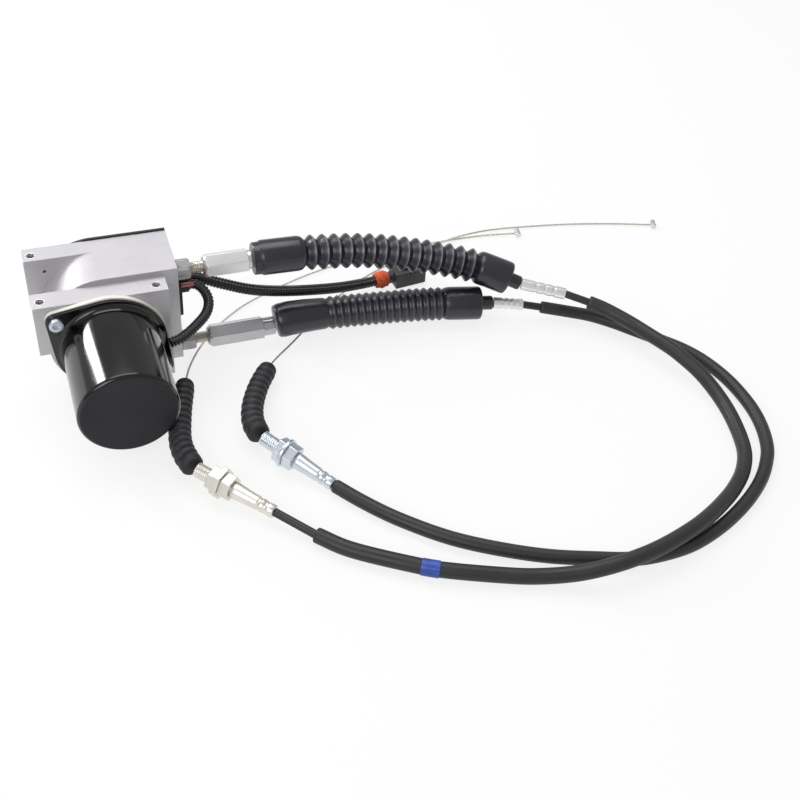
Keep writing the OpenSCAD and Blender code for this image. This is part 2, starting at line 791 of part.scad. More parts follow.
module lock_nuts() {
    color("silver") for (place = [[upper_wire_y, upper_z], [lower_wire_y, lower_z]])
        along_x(right_x, place[0], place[1]) difference() {
            intersection() {
                hexagon(locknut_af, locknut_l);
                union() {
                    cylinder(r1 = locknut_af / 2, r2 = locknut_af / 2 + nut_chamfer, h = nut_chamfer);
                    translate([0, 0, nut_chamfer])
                        cylinder(r = locknut_af / 2 + nut_chamfer, h = locknut_l - 2 * nut_chamfer);
                    translate([0, 0, locknut_l - nut_chamfer])
                        cylinder(r1 = locknut_af / 2 + nut_chamfer, r2 = locknut_af / 2, h = nut_chamfer);
                }
            }
            translate([0, 0, -eps]) cylinder(r = stub_r + fit, h = locknut_l + 2 * eps);
        }
}

// Hexagon with a turned nose at the stub and a round cap at the bellows
module hex_sleeve(y, z, l, cap_l) {
    corner_r = sleeve_af / 2 / cos(30);
    color("silver") along_x(sleeve_x, y, z) difference() {
        union() {
            intersection() {
                hexagon(sleeve_af, l - cap_l);
                union() {
                    cylinder(r1 = sleeve_chamfer_r, r2 = corner_r, h = sleeve_chamfer_l);
                    translate([0, 0, sleeve_chamfer_l - eps]) cylinder(r = corner_r + eps, h = l);
                }
            }
            translate([0, 0, sleeve_chamfer_l]) cylinder(r = sleeve_cap_r, h = l - sleeve_chamfer_l);
        }
        translate([0, 0, -eps]) cylinder(r = stub_r + fit, h = stub_overlap + eps);
        translate([0, 0, -eps]) cylinder(r = wire_d / 2 + gap, h = l - cap_l + 2 * eps);
    }
}

module upper_hex_sleeve() {
    hex_sleeve(upper_wire_y, upper_z, sleeve_l, sleeve_cap_l);
}

module lower_hex_sleeve() {
    hex_sleeve(lower_wire_y, lower_z, lower_sleeve_l, lower_cap_l);
}

// Straight run of an inner wire from its tangent point on the drum to the sleeve
module drum_wire(y, z, end_x) {
    color("lightgray") along_x(axis_x, y, z) cylinder(r = wire_d / 2, h = end_x - axis_x);
}

module upper_drum_wire() {
    drum_wire(upper_wire_y, upper_z, sleeve_end_x - sleeve_cap_l);
}

module lower_drum_wire() {
    drum_wire(lower_wire_y, lower_z, lower_sleeve_end_x - lower_cap_l);
}

// Bellows and cables

// cuff holds the shares and radii of the rings at the wide end, and small_end is where the small cuff ends
module bellows(spine, cuff, rib_r, depth, ribs, rib_start, rib_end, small_end) {
    start = 0.006;
    nipple_r = ferrule_r + 1;
    rib_growth = 0.3;
    stations = concat(
        [[start, sleeve_cap_r + 0.5]], cuff,
        rib_stations(rib_start, rib_end, ribs, rib_r, rib_r + rib_growth, depth),
        [[rib_end, rib_r + rib_growth - depth], [rib_end + 0.012, small_cuff_r - 0.5],
         [rib_end + 0.03, small_cuff_r], [small_end - 0.012, small_cuff_r], [small_end, small_cuff_r - 0.8],
         [small_end + 0.004, nipple_r], [0.99, nipple_r], [0.995, nipple_r - 0.4]]);
    color("#17181b") ribbed(spine, stations, 20);
}

module upper_bellows() {
    cuff_r = upper_rib_r - 0.1;
    bellows(upper_spine, [[0.01, cuff_r - 1], [0.03, cuff_r - 0.9], [0.036, cuff_r], [0.155, cuff_r],
                          [0.169, cuff_r - 0.6]],
            upper_rib_r, upper_rib_depth, 15, 0.183, 0.82, 0.95);
}

module lower_bellows() {
    cuff_r = lower_rib_r + 0.3;
    bellows(lower_spine, [[0.012, cuff_r - 0.8], [0.03, cuff_r], [0.07, cuff_r], [0.14, cuff_r - 0.4],
                          [0.2, cuff_r - 0.9], [0.232, cuff_r - 1.5]],
            lower_rib_r, lower_rib_depth, 16, 0.242, 0.765, 0.938);
}

// Crimped tube from p to q
module ferrule(p, q) {
    l = norm(q - p);
    crimp_l = 2.2;
    crimp_depth = 0.5;
    color("silver") aim(p, q) difference() {
        cylinder(r = ferrule_r, h = l);
        for (share = [0.3, 0.5, 0.7])
            translate([0, 0, l * share]) tube(ferrule_r + 1, ferrule_r - crimp_depth, crimp_l);
    }
}

module upper_ferrule() {
    ferrule(last(upper_spine), upper_ferrule_end);
}

module lower_ferrule() {
    ferrule(last(lower_spine), lower_ferrule_end);
}

module conduit_run(p, q) {
    margin = 0.5;
    aim(p, q) translate([0, 0, margin]) cylinder(r = conduit_d / 2, h = norm(q - p) - 2 * margin);
}

module upper_conduit() {
    color("#202124") {
        conduit_run(upper_ferrule_end, upper_route[0]);
        conduit_run(last(upper_route), between(last(upper_route), upper_boot_spine[0], upper_conduit_share));
    }
}

module lower_conduit() {
    color("#202124") conduit_run(lower_ferrule_end, lower_route[0]);
}

module upper_cable() {
    color("#26272a") cord(upper_route, upper_cable_d);
}

module lower_cable() {
    color("#26272a") cord(lower_route, lower_cable_d);
}

module marker_band() {
    p = between(upper_route[marker_span], upper_route[marker_span + 1], 0.5);
    t = unit(upper_route[marker_span + 1] - upper_route[marker_span]);
    color("#2a55c8") aim(p - t * band_l / 2, p)
        tube(upper_cable_d / 2 + fit + band_t, upper_cable_d / 2 + fit, band_l);
}

// Engine-end fitting: crimped tube and stem from p to q, with the nut resting at distance seat
module end_ferrule(p, q, seat) {
    l = norm(q - p);
    crimp_l = 2.4;
    crimp_depth = 0.6;
    color("silver") aim(p, q) difference() {
        union() {
            cylinder(r = ferrule_r, h = seat * 0.55);
            translate([0, 0, seat * 0.55])
                cylinder(r1 = ferrule_r, r2 = end_fitting_stem_r, h = seat * 0.45);
            translate([0, 0, seat]) cylinder(r = end_fitting_stem_r, h = l - seat - stem_short);
        }
        for (share = [0.15, 0.32])
            translate([0, 0, seat * share]) tube(ferrule_r + 1, ferrule_r - crimp_depth, crimp_l);
    }
}

upper_fit_start = between(last(upper_route), upper_boot_spine[0], upper_conduit_share);
upper_fit_end = upper_boot_spine[0];
lower_fit_start = last(lower_route) + ferrule_room * unit(lower_boot_spine[0] - last(lower_route));
lower_fit_end = lower_boot_spine[0];
end_nut_l = 7;
jam_nut_l = 5;
washer_t = 2.5;
large_nut_l = 4.5;
seat_back = 30;
upper_seat = norm(upper_fit_end - upper_fit_start) - seat_back;
lower_seat = norm(lower_fit_end - lower_fit_start) - seat_back;

module upper_end_ferrule() {
    end_ferrule(upper_fit_start, upper_fit_end, upper_seat);
}

module lower_end_ferrule() {
    end_ferrule(lower_fit_start, lower_fit_end, lower_seat);
}

module on_upper_fitting(offset) {
    aim(upper_fit_start, upper_fit_end) translate([0, 0, upper_seat + offset]) rotate(30) children();
}

module on_lower_fitting(offset) {
    aim(lower_fit_start, lower_fit_end) translate([0, 0, lower_seat + offset]) children();
}

module end_washers() {
    color("lightgray") {
        on_upper_fitting(end_nut_l) stem_nut(large_nut_af, large_nut_l);
        on_lower_fitting(end_nut_l) tube(washer_r, end_fitting_stem_r + fit, washer_t);
    }
}

module stem_nut(af, l) {
    difference() {
        hexagon(af, l);
        translate([0, 0, -eps]) cylinder(r = end_fitting_stem_r + fit, h = l + 2 * eps);
    }
}

module end_nuts() {
    color("silver") {
        on_upper_fitting(0) stem_nut(end_nut_af, end_nut_l);
        on_upper_fitting(end_nut_l + large_nut_l) stem_nut(end_nut_af, jam_nut_l);
        on_lower_fitting(0) stem_nut(end_nut_af, end_nut_l);
        on_lower_fitting(end_nut_l + washer_t) stem_nut(end_nut_af, jam_nut_l);
    }
}

module boot(spine, ribs) {
    stations = concat(
        [[0.004, boot_r - 1.4], [0.02, boot_r - 0.4], [0.07, boot_r - 0.2]],
        rib_stations(0.09, 0.93, ribs, boot_r, boot_r - 1, 1.4),
        [[0.93, boot_r - 2.2], [0.945, boot_r - 1.5], [0.975, boot_r - 2], [0.996, boot_r - 4]]);
    color("#17181b") ribbed(spine, stations, 14);
}

module upper_boot() {
    boot(upper_boot_spine, 12);
}

module lower_boot() {
    boot(lower_boot_spine, 10);
}

module upper_wire() {
    color("#b9b3a4") cord(upper_wire_route, wire_d);
}

module lower_wire() {
    color("#b9b3a4") cord(lower_wire_route, wire_d);
}

module wire_nipple(route) {
    p = last(route);
    t = heading(route, len(route) - 1);
    flat = unit([t[0], t[1], 0]);
    color("silver") translate([0, 0, nipple_r + 0.1 - p[2]]) aim(p + t * 0.2, p + t * 0.2 + flat)
        cylinder(r = nipple_r, h = nipple_l);
}

module upper_wire_nipple() {
    wire_nipple(upper_wire_route);
}

module lower_wire_nipple() {
    wire_nipple(lower_wire_route);
}

// Wiring

module loom_plate() {
    corner_r = 4;
    recess_r = 2;
    recess_inset = 5;
    recess_z = plate_z - plate_h / 2 + recess_inset;
    color("#1d1e20") difference() {
        union() {
            translate([right_x, plate_y, plate_z]) rotate([0, 90, 0]) linear_extrude(plate_t)
                for (a = [-1, 1], b = [-1, 1]) {
                    translate([a * (plate_h / 2 - corner_r), b * (plate_w / 2 - corner_r)]) circle(corner_r);
                    square([plate_h, plate_w - 2 * corner_r], center = true);
                    square([plate_h - 2 * corner_r, plate_w], center = true);
                }
            translate(loom_exit) rotate([0, 90, 0]) cylinder(r = motor_loom_d / 2 + spigot_t, h = spigot_l);
            translate(harness_exit) rotate([0, 90, 0]) cylinder(r = harness_d / 2 + spigot_t, h = spigot_l);
        }
        for (side = [-1, 1])
            along_x(right_x + plate_t / 2, plate_y + side * recess_inset, recess_z)
                cylinder(r = recess_r, h = plate_t);
    }
}

module motor_loom() {
    color("#1d1e20") cord(motor_loom_route, motor_loom_d);
}

module harness_loom() {
    color("#1d1e20") cord(harness_route, harness_d);
}

tie_l = 5;
tie_room = 0.7;
connector_h = 13;
connector_w = 15;
latch_t = 2;
latch_w = 6;
latch_start = 12;
latch_short = 4;
connector_at = tie_room + tie_l;
harness_tip = last(harness_route);

module harness_tie() {
    color("#e2532a") aim(harness_tip, connector_end)
        translate([0, 0, tie_room]) cylinder(r = harness_d / 2, h = tie_l);
}

module connector() {
    l = norm(connector_end - harness_tip) - connector_at;
    neck_l = 6;
    shell_l = l - neck_l;
    mouth_wall = 1.5;
    mouth_l = 9;
    rib_l = 1.4;
    rib_out = 0.6;
    color("#2a2b2e") aim(harness_tip, connector_end) translate([0, 0, connector_at]) {
        difference() {
            union() {
                cylinder(r = harness_d / 2 + 0.5, h = neck_l + eps);
                translate([-connector_h / 2, -connector_w / 2, neck_l])
                    cube([connector_h, connector_w, shell_l]);
                for (share = [0.3, 0.45, 0.6])
                    translate([-connector_h / 2 + 1, -connector_w / 2 - rib_out, neck_l + shell_l * share])
                        cube([connector_h - 2, connector_w + 2 * rib_out, rib_l]);
            }
            translate([-connector_h / 2 + mouth_wall, -connector_w / 2 + mouth_wall, l - mouth_l])
                cube([connector_h - 2 * mouth_wall, connector_w - 2 * mouth_wall, mouth_l + eps]);
        }
    }
}

module connector_latch() {
    l = norm(connector_end - harness_tip) - connector_at;
    color("#3a3b3f") aim(harness_tip, connector_end)
        translate([-connector_h / 2 - latch_t, -latch_w / 2, connector_at + latch_start])
            cube([latch_t, latch_w, l - latch_start - latch_short]);
}

housing();
back_cover();
cover_screws();
motor_spacer();
motor_can();
motor_screws();
magnets();
brush_holder();
brushes();
rear_bush();
front_bush();
end_bush();
cluster_pin();
sensor_track();
rotor_shaft();
armature();
commutator();
motor_pinion();
cluster_gear();
drum();
output_gear();
drum_bushes();
sensor_wiper();
upper_stub();
lower_stub();
lock_nuts();
upper_hex_sleeve();
lower_hex_sleeve();
upper_drum_wire();
lower_drum_wire();
upper_bellows();
lower_bellows();
upper_ferrule();
lower_ferrule();
upper_conduit();
lower_conduit();
upper_cable();
lower_cable();
marker_band();
upper_end_ferrule();
lower_end_ferrule();
end_washers();
end_nuts();
upper_boot();
lower_boot();
upper_wire();
lower_wire();
upper_wire_nipple();
lower_wire_nipple();
loom_plate();
motor_loom();
harness_loom();
harness_tie();
connector();
connector_latch();
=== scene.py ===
"""Looks of an engine governor actuator: motor, gear housing, bellows, two throttle cables and a lead.

Every size is in millimetres until a vertex is made, where MM turns it into metres. The studio alone is in
metres. The frame is the CAD model's: X along the cable outlets, Y away from the motor and Z up, and the
object stands on Z = 0.
"""

import json
import logging
import math
from collections.abc import Callable, Sequence
from dataclasses import dataclass, replace
from enum import Enum
from functools import partial

import bmesh
import bpy
from mathutils import Matrix, Vector
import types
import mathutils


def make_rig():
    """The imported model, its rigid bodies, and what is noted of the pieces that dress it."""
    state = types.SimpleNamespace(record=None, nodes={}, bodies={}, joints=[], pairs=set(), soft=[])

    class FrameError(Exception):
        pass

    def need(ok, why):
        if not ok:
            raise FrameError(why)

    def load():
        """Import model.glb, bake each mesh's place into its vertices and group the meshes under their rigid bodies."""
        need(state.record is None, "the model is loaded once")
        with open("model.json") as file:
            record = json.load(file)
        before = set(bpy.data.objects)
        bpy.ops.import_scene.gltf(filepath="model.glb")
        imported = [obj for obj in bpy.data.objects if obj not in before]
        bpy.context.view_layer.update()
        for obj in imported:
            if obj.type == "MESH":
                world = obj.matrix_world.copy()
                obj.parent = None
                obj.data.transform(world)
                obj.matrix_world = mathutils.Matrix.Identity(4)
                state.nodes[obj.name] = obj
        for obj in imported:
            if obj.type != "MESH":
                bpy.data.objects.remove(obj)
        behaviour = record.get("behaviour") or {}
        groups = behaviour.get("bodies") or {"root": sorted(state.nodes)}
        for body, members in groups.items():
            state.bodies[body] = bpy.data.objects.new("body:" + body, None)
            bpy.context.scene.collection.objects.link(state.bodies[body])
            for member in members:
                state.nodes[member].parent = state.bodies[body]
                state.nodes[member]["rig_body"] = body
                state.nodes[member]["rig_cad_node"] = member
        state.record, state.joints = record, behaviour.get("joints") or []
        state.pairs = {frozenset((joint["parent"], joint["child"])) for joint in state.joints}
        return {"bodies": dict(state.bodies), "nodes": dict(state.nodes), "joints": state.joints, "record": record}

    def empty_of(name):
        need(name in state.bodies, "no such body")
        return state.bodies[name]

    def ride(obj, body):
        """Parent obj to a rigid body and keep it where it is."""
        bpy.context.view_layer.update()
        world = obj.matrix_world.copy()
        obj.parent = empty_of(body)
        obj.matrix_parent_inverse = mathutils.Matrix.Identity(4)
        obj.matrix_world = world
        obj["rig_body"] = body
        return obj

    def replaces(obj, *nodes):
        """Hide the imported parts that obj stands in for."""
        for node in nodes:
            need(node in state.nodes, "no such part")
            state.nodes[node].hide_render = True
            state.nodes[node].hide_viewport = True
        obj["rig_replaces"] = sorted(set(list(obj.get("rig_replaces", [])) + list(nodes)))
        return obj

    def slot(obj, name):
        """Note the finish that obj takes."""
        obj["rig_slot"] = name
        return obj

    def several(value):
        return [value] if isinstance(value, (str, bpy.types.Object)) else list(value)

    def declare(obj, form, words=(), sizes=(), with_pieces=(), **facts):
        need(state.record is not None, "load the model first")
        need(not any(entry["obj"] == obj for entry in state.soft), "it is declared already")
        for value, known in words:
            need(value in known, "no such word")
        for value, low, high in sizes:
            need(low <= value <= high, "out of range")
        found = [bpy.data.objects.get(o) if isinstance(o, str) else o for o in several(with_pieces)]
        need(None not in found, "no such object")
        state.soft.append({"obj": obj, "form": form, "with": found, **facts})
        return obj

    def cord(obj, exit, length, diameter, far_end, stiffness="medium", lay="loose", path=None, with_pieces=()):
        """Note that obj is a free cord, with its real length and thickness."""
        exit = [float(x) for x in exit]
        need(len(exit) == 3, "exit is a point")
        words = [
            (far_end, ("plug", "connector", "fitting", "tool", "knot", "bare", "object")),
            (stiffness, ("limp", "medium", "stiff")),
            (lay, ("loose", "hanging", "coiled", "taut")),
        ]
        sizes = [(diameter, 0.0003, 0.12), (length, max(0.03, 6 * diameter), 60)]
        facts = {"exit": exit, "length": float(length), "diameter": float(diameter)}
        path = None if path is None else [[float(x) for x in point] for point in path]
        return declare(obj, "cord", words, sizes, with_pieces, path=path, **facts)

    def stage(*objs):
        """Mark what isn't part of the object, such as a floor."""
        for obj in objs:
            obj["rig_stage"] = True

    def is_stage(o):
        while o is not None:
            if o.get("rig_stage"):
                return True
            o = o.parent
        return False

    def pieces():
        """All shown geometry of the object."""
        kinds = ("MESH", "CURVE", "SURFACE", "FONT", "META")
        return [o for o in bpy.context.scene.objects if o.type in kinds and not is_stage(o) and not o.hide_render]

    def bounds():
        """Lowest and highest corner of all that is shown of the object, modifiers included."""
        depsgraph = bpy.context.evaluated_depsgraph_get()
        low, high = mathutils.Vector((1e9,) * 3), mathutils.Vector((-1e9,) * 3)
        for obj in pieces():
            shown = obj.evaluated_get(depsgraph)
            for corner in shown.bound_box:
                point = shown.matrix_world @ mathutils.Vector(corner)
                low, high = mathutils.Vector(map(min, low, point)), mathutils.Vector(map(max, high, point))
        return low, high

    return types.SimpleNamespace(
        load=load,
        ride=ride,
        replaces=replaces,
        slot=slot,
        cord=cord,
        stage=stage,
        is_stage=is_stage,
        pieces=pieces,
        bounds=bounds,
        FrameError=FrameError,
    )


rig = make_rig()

# Blender's start-up scene holds objects of its own.
for leftover in list(bpy.data.objects):
    bpy.data.objects.remove(leftover)

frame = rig.load()

MM = 0.001
BODY = "actuator"
LOG = logging.getLogger("actuator")

Piece = bpy.types.Object
Pair = tuple[float, float]
Point = tuple[float, float, float]
Row = Sequence[Point]
Profile = Sequence[Pair]
Path = Sequence[Vector]
UP = Vector((0.0, 0.0, 1.0))
FULL_TURN = 2 * math.pi


# Materials


def linear(code: str) -> tuple[float, float, float, float]:
    """Turn an sRGB hex colour into a linear one.

    Args:
        code: Colour as six hex digits after a hash sign.

    Returns:
        Linear red, green, blue and an alpha of one.
    """
    channels = [int(code[i : i + 2], 16) / 255 for i in (1, 3, 5)]
    curve = [c / 12.92 if c <= 0.04045 else ((c + 0.055) / 1.055) ** 2.4 for c in channels]
    return (curve[0], curve[1], curve[2], 1.0)


def add_node(
    tree: bpy.types.NodeTree,
    kind: str,
    settings: dict[str | int, object] | None = None,
    links: dict[str | int, bpy.types.NodeSocket] | None = None,
) -> bpy.types.Node:
    """Add one shader node with its settings and links.

    Args:
        tree: Node tree of a material or world.
        kind: Blender's type name of the node.
        settings: Values by name or index of an input, or by name of a property.
        links: Output sockets of other nodes by name or index of the input that they feed.

    Returns:
        The new node.
    """
    node = tree.nodes.new(kind)
    for name, value in (settings or {}).items():
        if isinstance(name, int) or name in node.inputs:
            node.inputs[name].default_value = value
        else:
            setattr(node, name, value)
    for name, source in (links or {}).items():
        tree.links.new(source, node.inputs[name])
    return node


def node_adder(owner: bpy.types.Material | bpy.types.World) -> Callable[..., bpy.types.Node]:
    """Empty a node tree and return the function that adds nodes to it.

    Args:
        owner: Material or world that has the tree.

    Returns:
        add_node for that tree.
    """
    owner.use_nodes = True
    owner.node_tree.nodes.clear()
    return partial(add_node, owner.node_tree)


# Noise values between which a pattern goes from one colour, or one roughness, to the other
COLOUR_BAND = (0.12, 0.42)
ROUGHNESS_BAND = (0.3, 0.7)
COAT_ROUGHNESS = 0.05


class Lines(Enum):
    """Way in which a surface was milled, ground or drawn, as a stretch of its pattern on three axes."""

    NONE = (1.0, 1.0, 1.0)
    ALONG_X = (0.03, 1.0, 1.0)
    ROUND_Y = (0.03, 1.0, 0.03)
    ALONG_LENGTH = (0.02, 1.0, 1.0)


@dataclass(frozen=True)
class Finish:
    """Surface of one real material.

    The grain mixes the two colours and gives the bump, and the mottle moves the roughness. The wear
    attribute of a mesh brings in the worn colour where an edge is rubbed.
    """

    name: str
    colour: str
    grain_colour: str
    roughness: float
    grain_mm: float
    metallic: float = 0.0
    relief_mm: float = 0.01
    mottle_mm: float = 25.0
    roughness_spread: float = 0.08
    lines: Lines = Lines.NONE
    worn: str = ""
    coat: float = 0.0
    specular: float = 0.5

    def material(self) -> bpy.types.Material:
        """Return the material of this finish, made on first use."""
        made = bpy.data.materials.get(self.name)
        return made if made else self._make()

    def _make(self) -> bpy.types.Material:
        """Build the node tree.

        Returns:
            The new material.
        """
        material = bpy.data.materials.new(self.name)
        add = node_adder(material)
        place = add("ShaderNodeTexCoord")
        laid_on = "UV" if self.lines is Lines.ALONG_LENGTH else "Object"
        stretch = add("ShaderNodeMapping", {"Scale": self.lines.value}, {"Vector": place.outputs[laid_on]})
        grain = add(
            "ShaderNodeTexNoise",
            {"Scale": 1 / (self.grain_mm * MM), "Detail": 4.0, "Roughness": 0.6},
            {"Vector": stretch.outputs["Vector"]},
        )
        mottle = add(
            "ShaderNodeTexNoise",
            {"Scale": 1 / (self.mottle_mm * MM), "Detail": 3.0},
            {"Vector": place.outputs["Object"]},
        )
        noises = {0: grain.outputs["Fac"], 1: mottle.outputs["Fac"]}
        both = add("ShaderNodeMath", {"operation": "MULTIPLY"}, noises)
        share = add(
            "ShaderNodeMapRange",
            {"From Min": COLOUR_BAND[0], "From Max": COLOUR_BAND[1]},
            {"Value": both.outputs["Value"]},
        )
        colour = add(
            "ShaderNodeMix",
            {"data_type": "RGBA", 6: linear(self.colour), 7: linear(self.grain_colour)},
            {0: share.outputs["Result"]},
        ).outputs[2]
        if self.worn:
            wear = add("ShaderNodeAttribute", {"attribute_name": "wear"})
            colour = add(
                "ShaderNodeMix",
                {"data_type": "RGBA", 7: linear(self.worn)},
                {0: wear.outputs["Fac"], 6: colour},
            ).outputs[2]
        rough = add(
            "ShaderNodeMapRange",
            {
                "From Min": ROUGHNESS_BAND[0],
                "From Max": ROUGHNESS_BAND[1],
                "To Min": self.roughness - self.roughness_spread,
                "To Max": self.roughness + self.roughness_spread,
            },
            {"Value": mottle.outputs["Fac"]},
        )
        relief = {"Strength": 1.0, "Distance": self.relief_mm * MM}
        bump = add("ShaderNodeBump", relief, {"Height": grain.outputs["Fac"]})
        shader = add(
            "ShaderNodeBsdfPrincipled",
            {
                "Metallic": self.metallic,
                "Coat Weight": self.coat,
                "Coat Roughness": COAT_ROUGHNESS,
                "Specular IOR Level": self.specular,
            },
            {"Base Color": colour, "Roughness": rough.outputs["Result"], "Normal": bump.outputs["Normal"]},
        )
        add("ShaderNodeOutputMaterial", links={"Surface": shader.outputs["BSDF"]})
        return material


# The values of a finish in order: name, colour, grain colour, roughness, grain in mm, metallic, relief
# in mm, mottle in mm, spread of the roughness and lines. Plating, moulding and drawing leave a grain finer
# than a pixel, so every grain is drawn at 0.3 to 2.2 mm, as coarse as it needs to show.

# Bare aluminium straight off the mill: pale, satin, with faint tool marks along its length.
MILLED_ALUMINIUM = Finish(
    "milled_aluminium", "#cac8cb", "#bfbdc1", 0.56, 0.9, 1.0, 0.006, 40.0, 0.05, Lines.ALONG_X
)
# The same metal burnished by the tap: brighter and smoother.
BURNISHED_ALUMINIUM = Finish("burnished_aluminium", "#e6e5e6", "#dcdbdd", 0.32, 0.6, 1.0, 0.002, 8.0, 0.04)
# Stoved black enamel on drawn steel: deep gloss with a slight orange peel.
STOVED_ENAMEL = Finish(
    "stoved_black_enamel", "#060608", "#0b0b0d", 0.14, 2.2, 0.0, 0.01, 30.0, 0.04, coat=0.3, specular=0.4
)
# The same paint on the pressed end, dull and a little grey.
DULL_ENAMEL = Finish("dull_black_enamel", "#28272c", "#2f2e33", 0.6, 0.5, 0.0, 0.006, 22.0, specular=0.3)
# Moulded nitrile rubber: bluish black, satin, with slightly paler rubbed ridges.
MOULDED_RUBBER = Finish(
    "moulded_nitrile_rubber", "#1c1c26", "#262630", 0.29, 0.6, 0.0, 0.01, 18.0, 0.06,
    worn="#7c7b86", specular=0.65,
)
# Moulded rubber of the engine-end boots: charcoal, duller.
BOOT_RUBBER = Finish(
    "moulded_boot_rubber", "#252529", "#2d2d32", 0.55, 0.6, 0.0, 0.012, 16.0, 0.08,
    worn="#45454a", specular=0.4,
)
# Heat-shrunk polyolefin sleeve: charcoal grey, satin, with faint lines along the cable.
SHRUNK_SLEEVE = Finish(
    "heat_shrunk_polyolefin", "#282729", "#323034", 0.44, 0.7, 0.0, 0.008, 30.0, 0.07, Lines.ALONG_LENGTH,
    specular=0.42,
)
# Extruded nylon conduit under the sleeve: darker and smoother.
NYLON_CONDUIT = Finish(
    "extruded_nylon", "#1f1f21", "#272729", 0.4, 0.6, 0.0, 0.004, 20.0, 0.05, Lines.ALONG_LENGTH
)
# Clear zinc plate on turned steel: bright and neutral.
CLEAR_ZINC = Finish("clear_zinc_plate", "#e3e1e1", "#dad8d9", 0.36, 0.5, 1.0, 0.002, 12.0, 0.03)
# Blue-passivated zinc plate: bright, with a cool blue bloom.
BLUE_ZINC = Finish("blue_zinc_plate", "#d9dfe5", "#cdd6df", 0.34, 0.5, 1.0, 0.002, 12.0, 0.03)
# Handled zinc plate of the lower hex sleeve: greyer, with sharper reflections.
GREY_ZINC = Finish("grey_zinc_plate", "#bfbfc2", "#b1b1b5", 0.26, 0.5, 1.0, 0.002, 14.0, 0.04)
# Phosphated zinc on the lock nuts: a darker, softer grey.
DULL_ZINC = Finish("phosphated_zinc_plate", "#adacad", "#a4a3a4", 0.46, 0.5, 1.0, 0.003, 8.0, 0.04)
# Yellow zinc plate on a rolled thread: pale straw.
YELLOW_ZINC = Finish("yellow_zinc_plate", "#cfccc3", "#c6c1b2", 0.36, 0.5, 1.0, 0.003, 4.0, 0.05)
# Zinc plate that the crimping tool rubbed: almost white.
CRIMPED_ZINC = Finish("crimped_zinc_plate", "#f3f2f1", "#e2e1e0", 0.42, 0.6, 1.0, 0.004, 5.0, 0.05)
# Warm zinc plate of the upper cable's end fitting: pale and soft.
WARM_ZINC = Finish("warm_zinc_plate", "#e8e5df", "#dfdbd2", 0.4, 0.5, 1.0, 0.002, 12.0, 0.03)
# Drawn steel strand: pale beige-grey, lightly oiled.
DRAWN_STRAND = Finish("drawn_steel_strand", "#dcd9d2", "#cfcac0", 0.4, 0.4, 1.0, 0.003, 6.0, 0.06)
# Polyethylene loom: black and waxy, with bright rubbed lips along its slit.
LOOM_POLYETHYLENE = Finish(
    "corrugated_polyethylene", "#101012", "#18181a", 0.36, 0.5, 0.0, 0.004, 12.0, 0.06, worn="#a9a9ac"
)
# Glass-filled nylon cover: black, dull, with a moulded grain.
MOULDED_NYLON = Finish("moulded_black_nylon", "#17181a", "#1f2023", 0.55, 0.7, 0.0, 0.02, 25.0)
# Connector nylon: dark grey, satin.
CONNECTOR_NYLON = Finish("moulded_grey_nylon", "#2c2d31", "#36373b", 0.42, 0.6, 0.0, 0.01, 14.0)
# Pressed insulating board: cream, with fibres.
PRESSED_BOARD = Finish("pressed_board", "#f0eee7", "#e2ded2", 0.8, 1.1, 0.0, 0.02, 9.0)
# Vinyl tape: strong blue, shiny, with pale creases along the cable.
BLUE_TAPE = Finish(
    "blue_vinyl_tape", "#1a3a9a", "#4b6cc4", 0.34, 1.6, 0.0, 0.02, 6.0, 0.06, Lines.ALONG_LENGTH
)
# Cloth tape round the lead: orange-red and dull.
ORANGE_TAPE = Finish("orange_cloth_tape", "#cf4a24", "#e8754c", 0.7, 0.9, 0.0, 0.04, 3.0)
# Pink insulated leads of the motor, soft vinyl.
LEAD_VINYL = Finish("pink_vinyl_lead", "#c9868a", "#b06a70", 0.45, 0.5, 0.0, 0.003, 4.0)
# Sintered ferrite magnets: dull dark grey.
SINTERED_FERRITE = Finish("sintered_ferrite", "#3a3a3d", "#454548", 0.7, 0.4, 0.0, 0.02, 12.0)
# Paper laminate of the brush board: brown, faintly layered.
PAPER_LAMINATE = Finish("paper_laminate", "#6b5638", "#7c6745", 0.6, 0.5, 0.0, 0.01, 9.0)
# Pressed carbon: soft black.
PRESSED_CARBON = Finish("pressed_carbon", "#242426", "#2f2f31", 0.5, 0.4, 0.0, 0.01, 4.0)
# Oiled sintered bronze of the bushes.
SINTERED_BRONZE = Finish("sintered_bronze", "#a5813f", "#8b6a33", 0.45, 0.3, 1.0, 0.01, 5.0)
# Ground steel of the shaft and pin, with lines round it.
GROUND_STEEL = Finish(
    "ground_steel", "#b9bcc0", "#a6a9ae", 0.25, 0.4, 1.0, 0.003, 15.0, 0.05, Lines.ROUND_Y
)
# Varnished laminations with copper turns.
VARNISHED_IRON = Finish("varnished_iron", "#7d4327", "#94553a", 0.4, 0.5, 0.6, 0.01, 6.0)
# Turned copper of the commutator and wiper.
TURNED_COPPER = Finish("turned_copper", "#c07a4f", "#a9663f", 0.3, 0.4, 1.0, 0.004, 6.0)
# Hobbed gear steel, oily and dark.
HOBBED_STEEL = Finish("hobbed_steel", "#8a8d92", "#777a80", 0.35, 0.4, 1.0, 0.004, 8.0)
# Solder-masked glass board of the position sensor.
SENSOR_BOARD = Finish("glass_epoxy_board", "#2c6a44", "#347a50", 0.4, 0.6, 0.0, 0.005, 10.0)

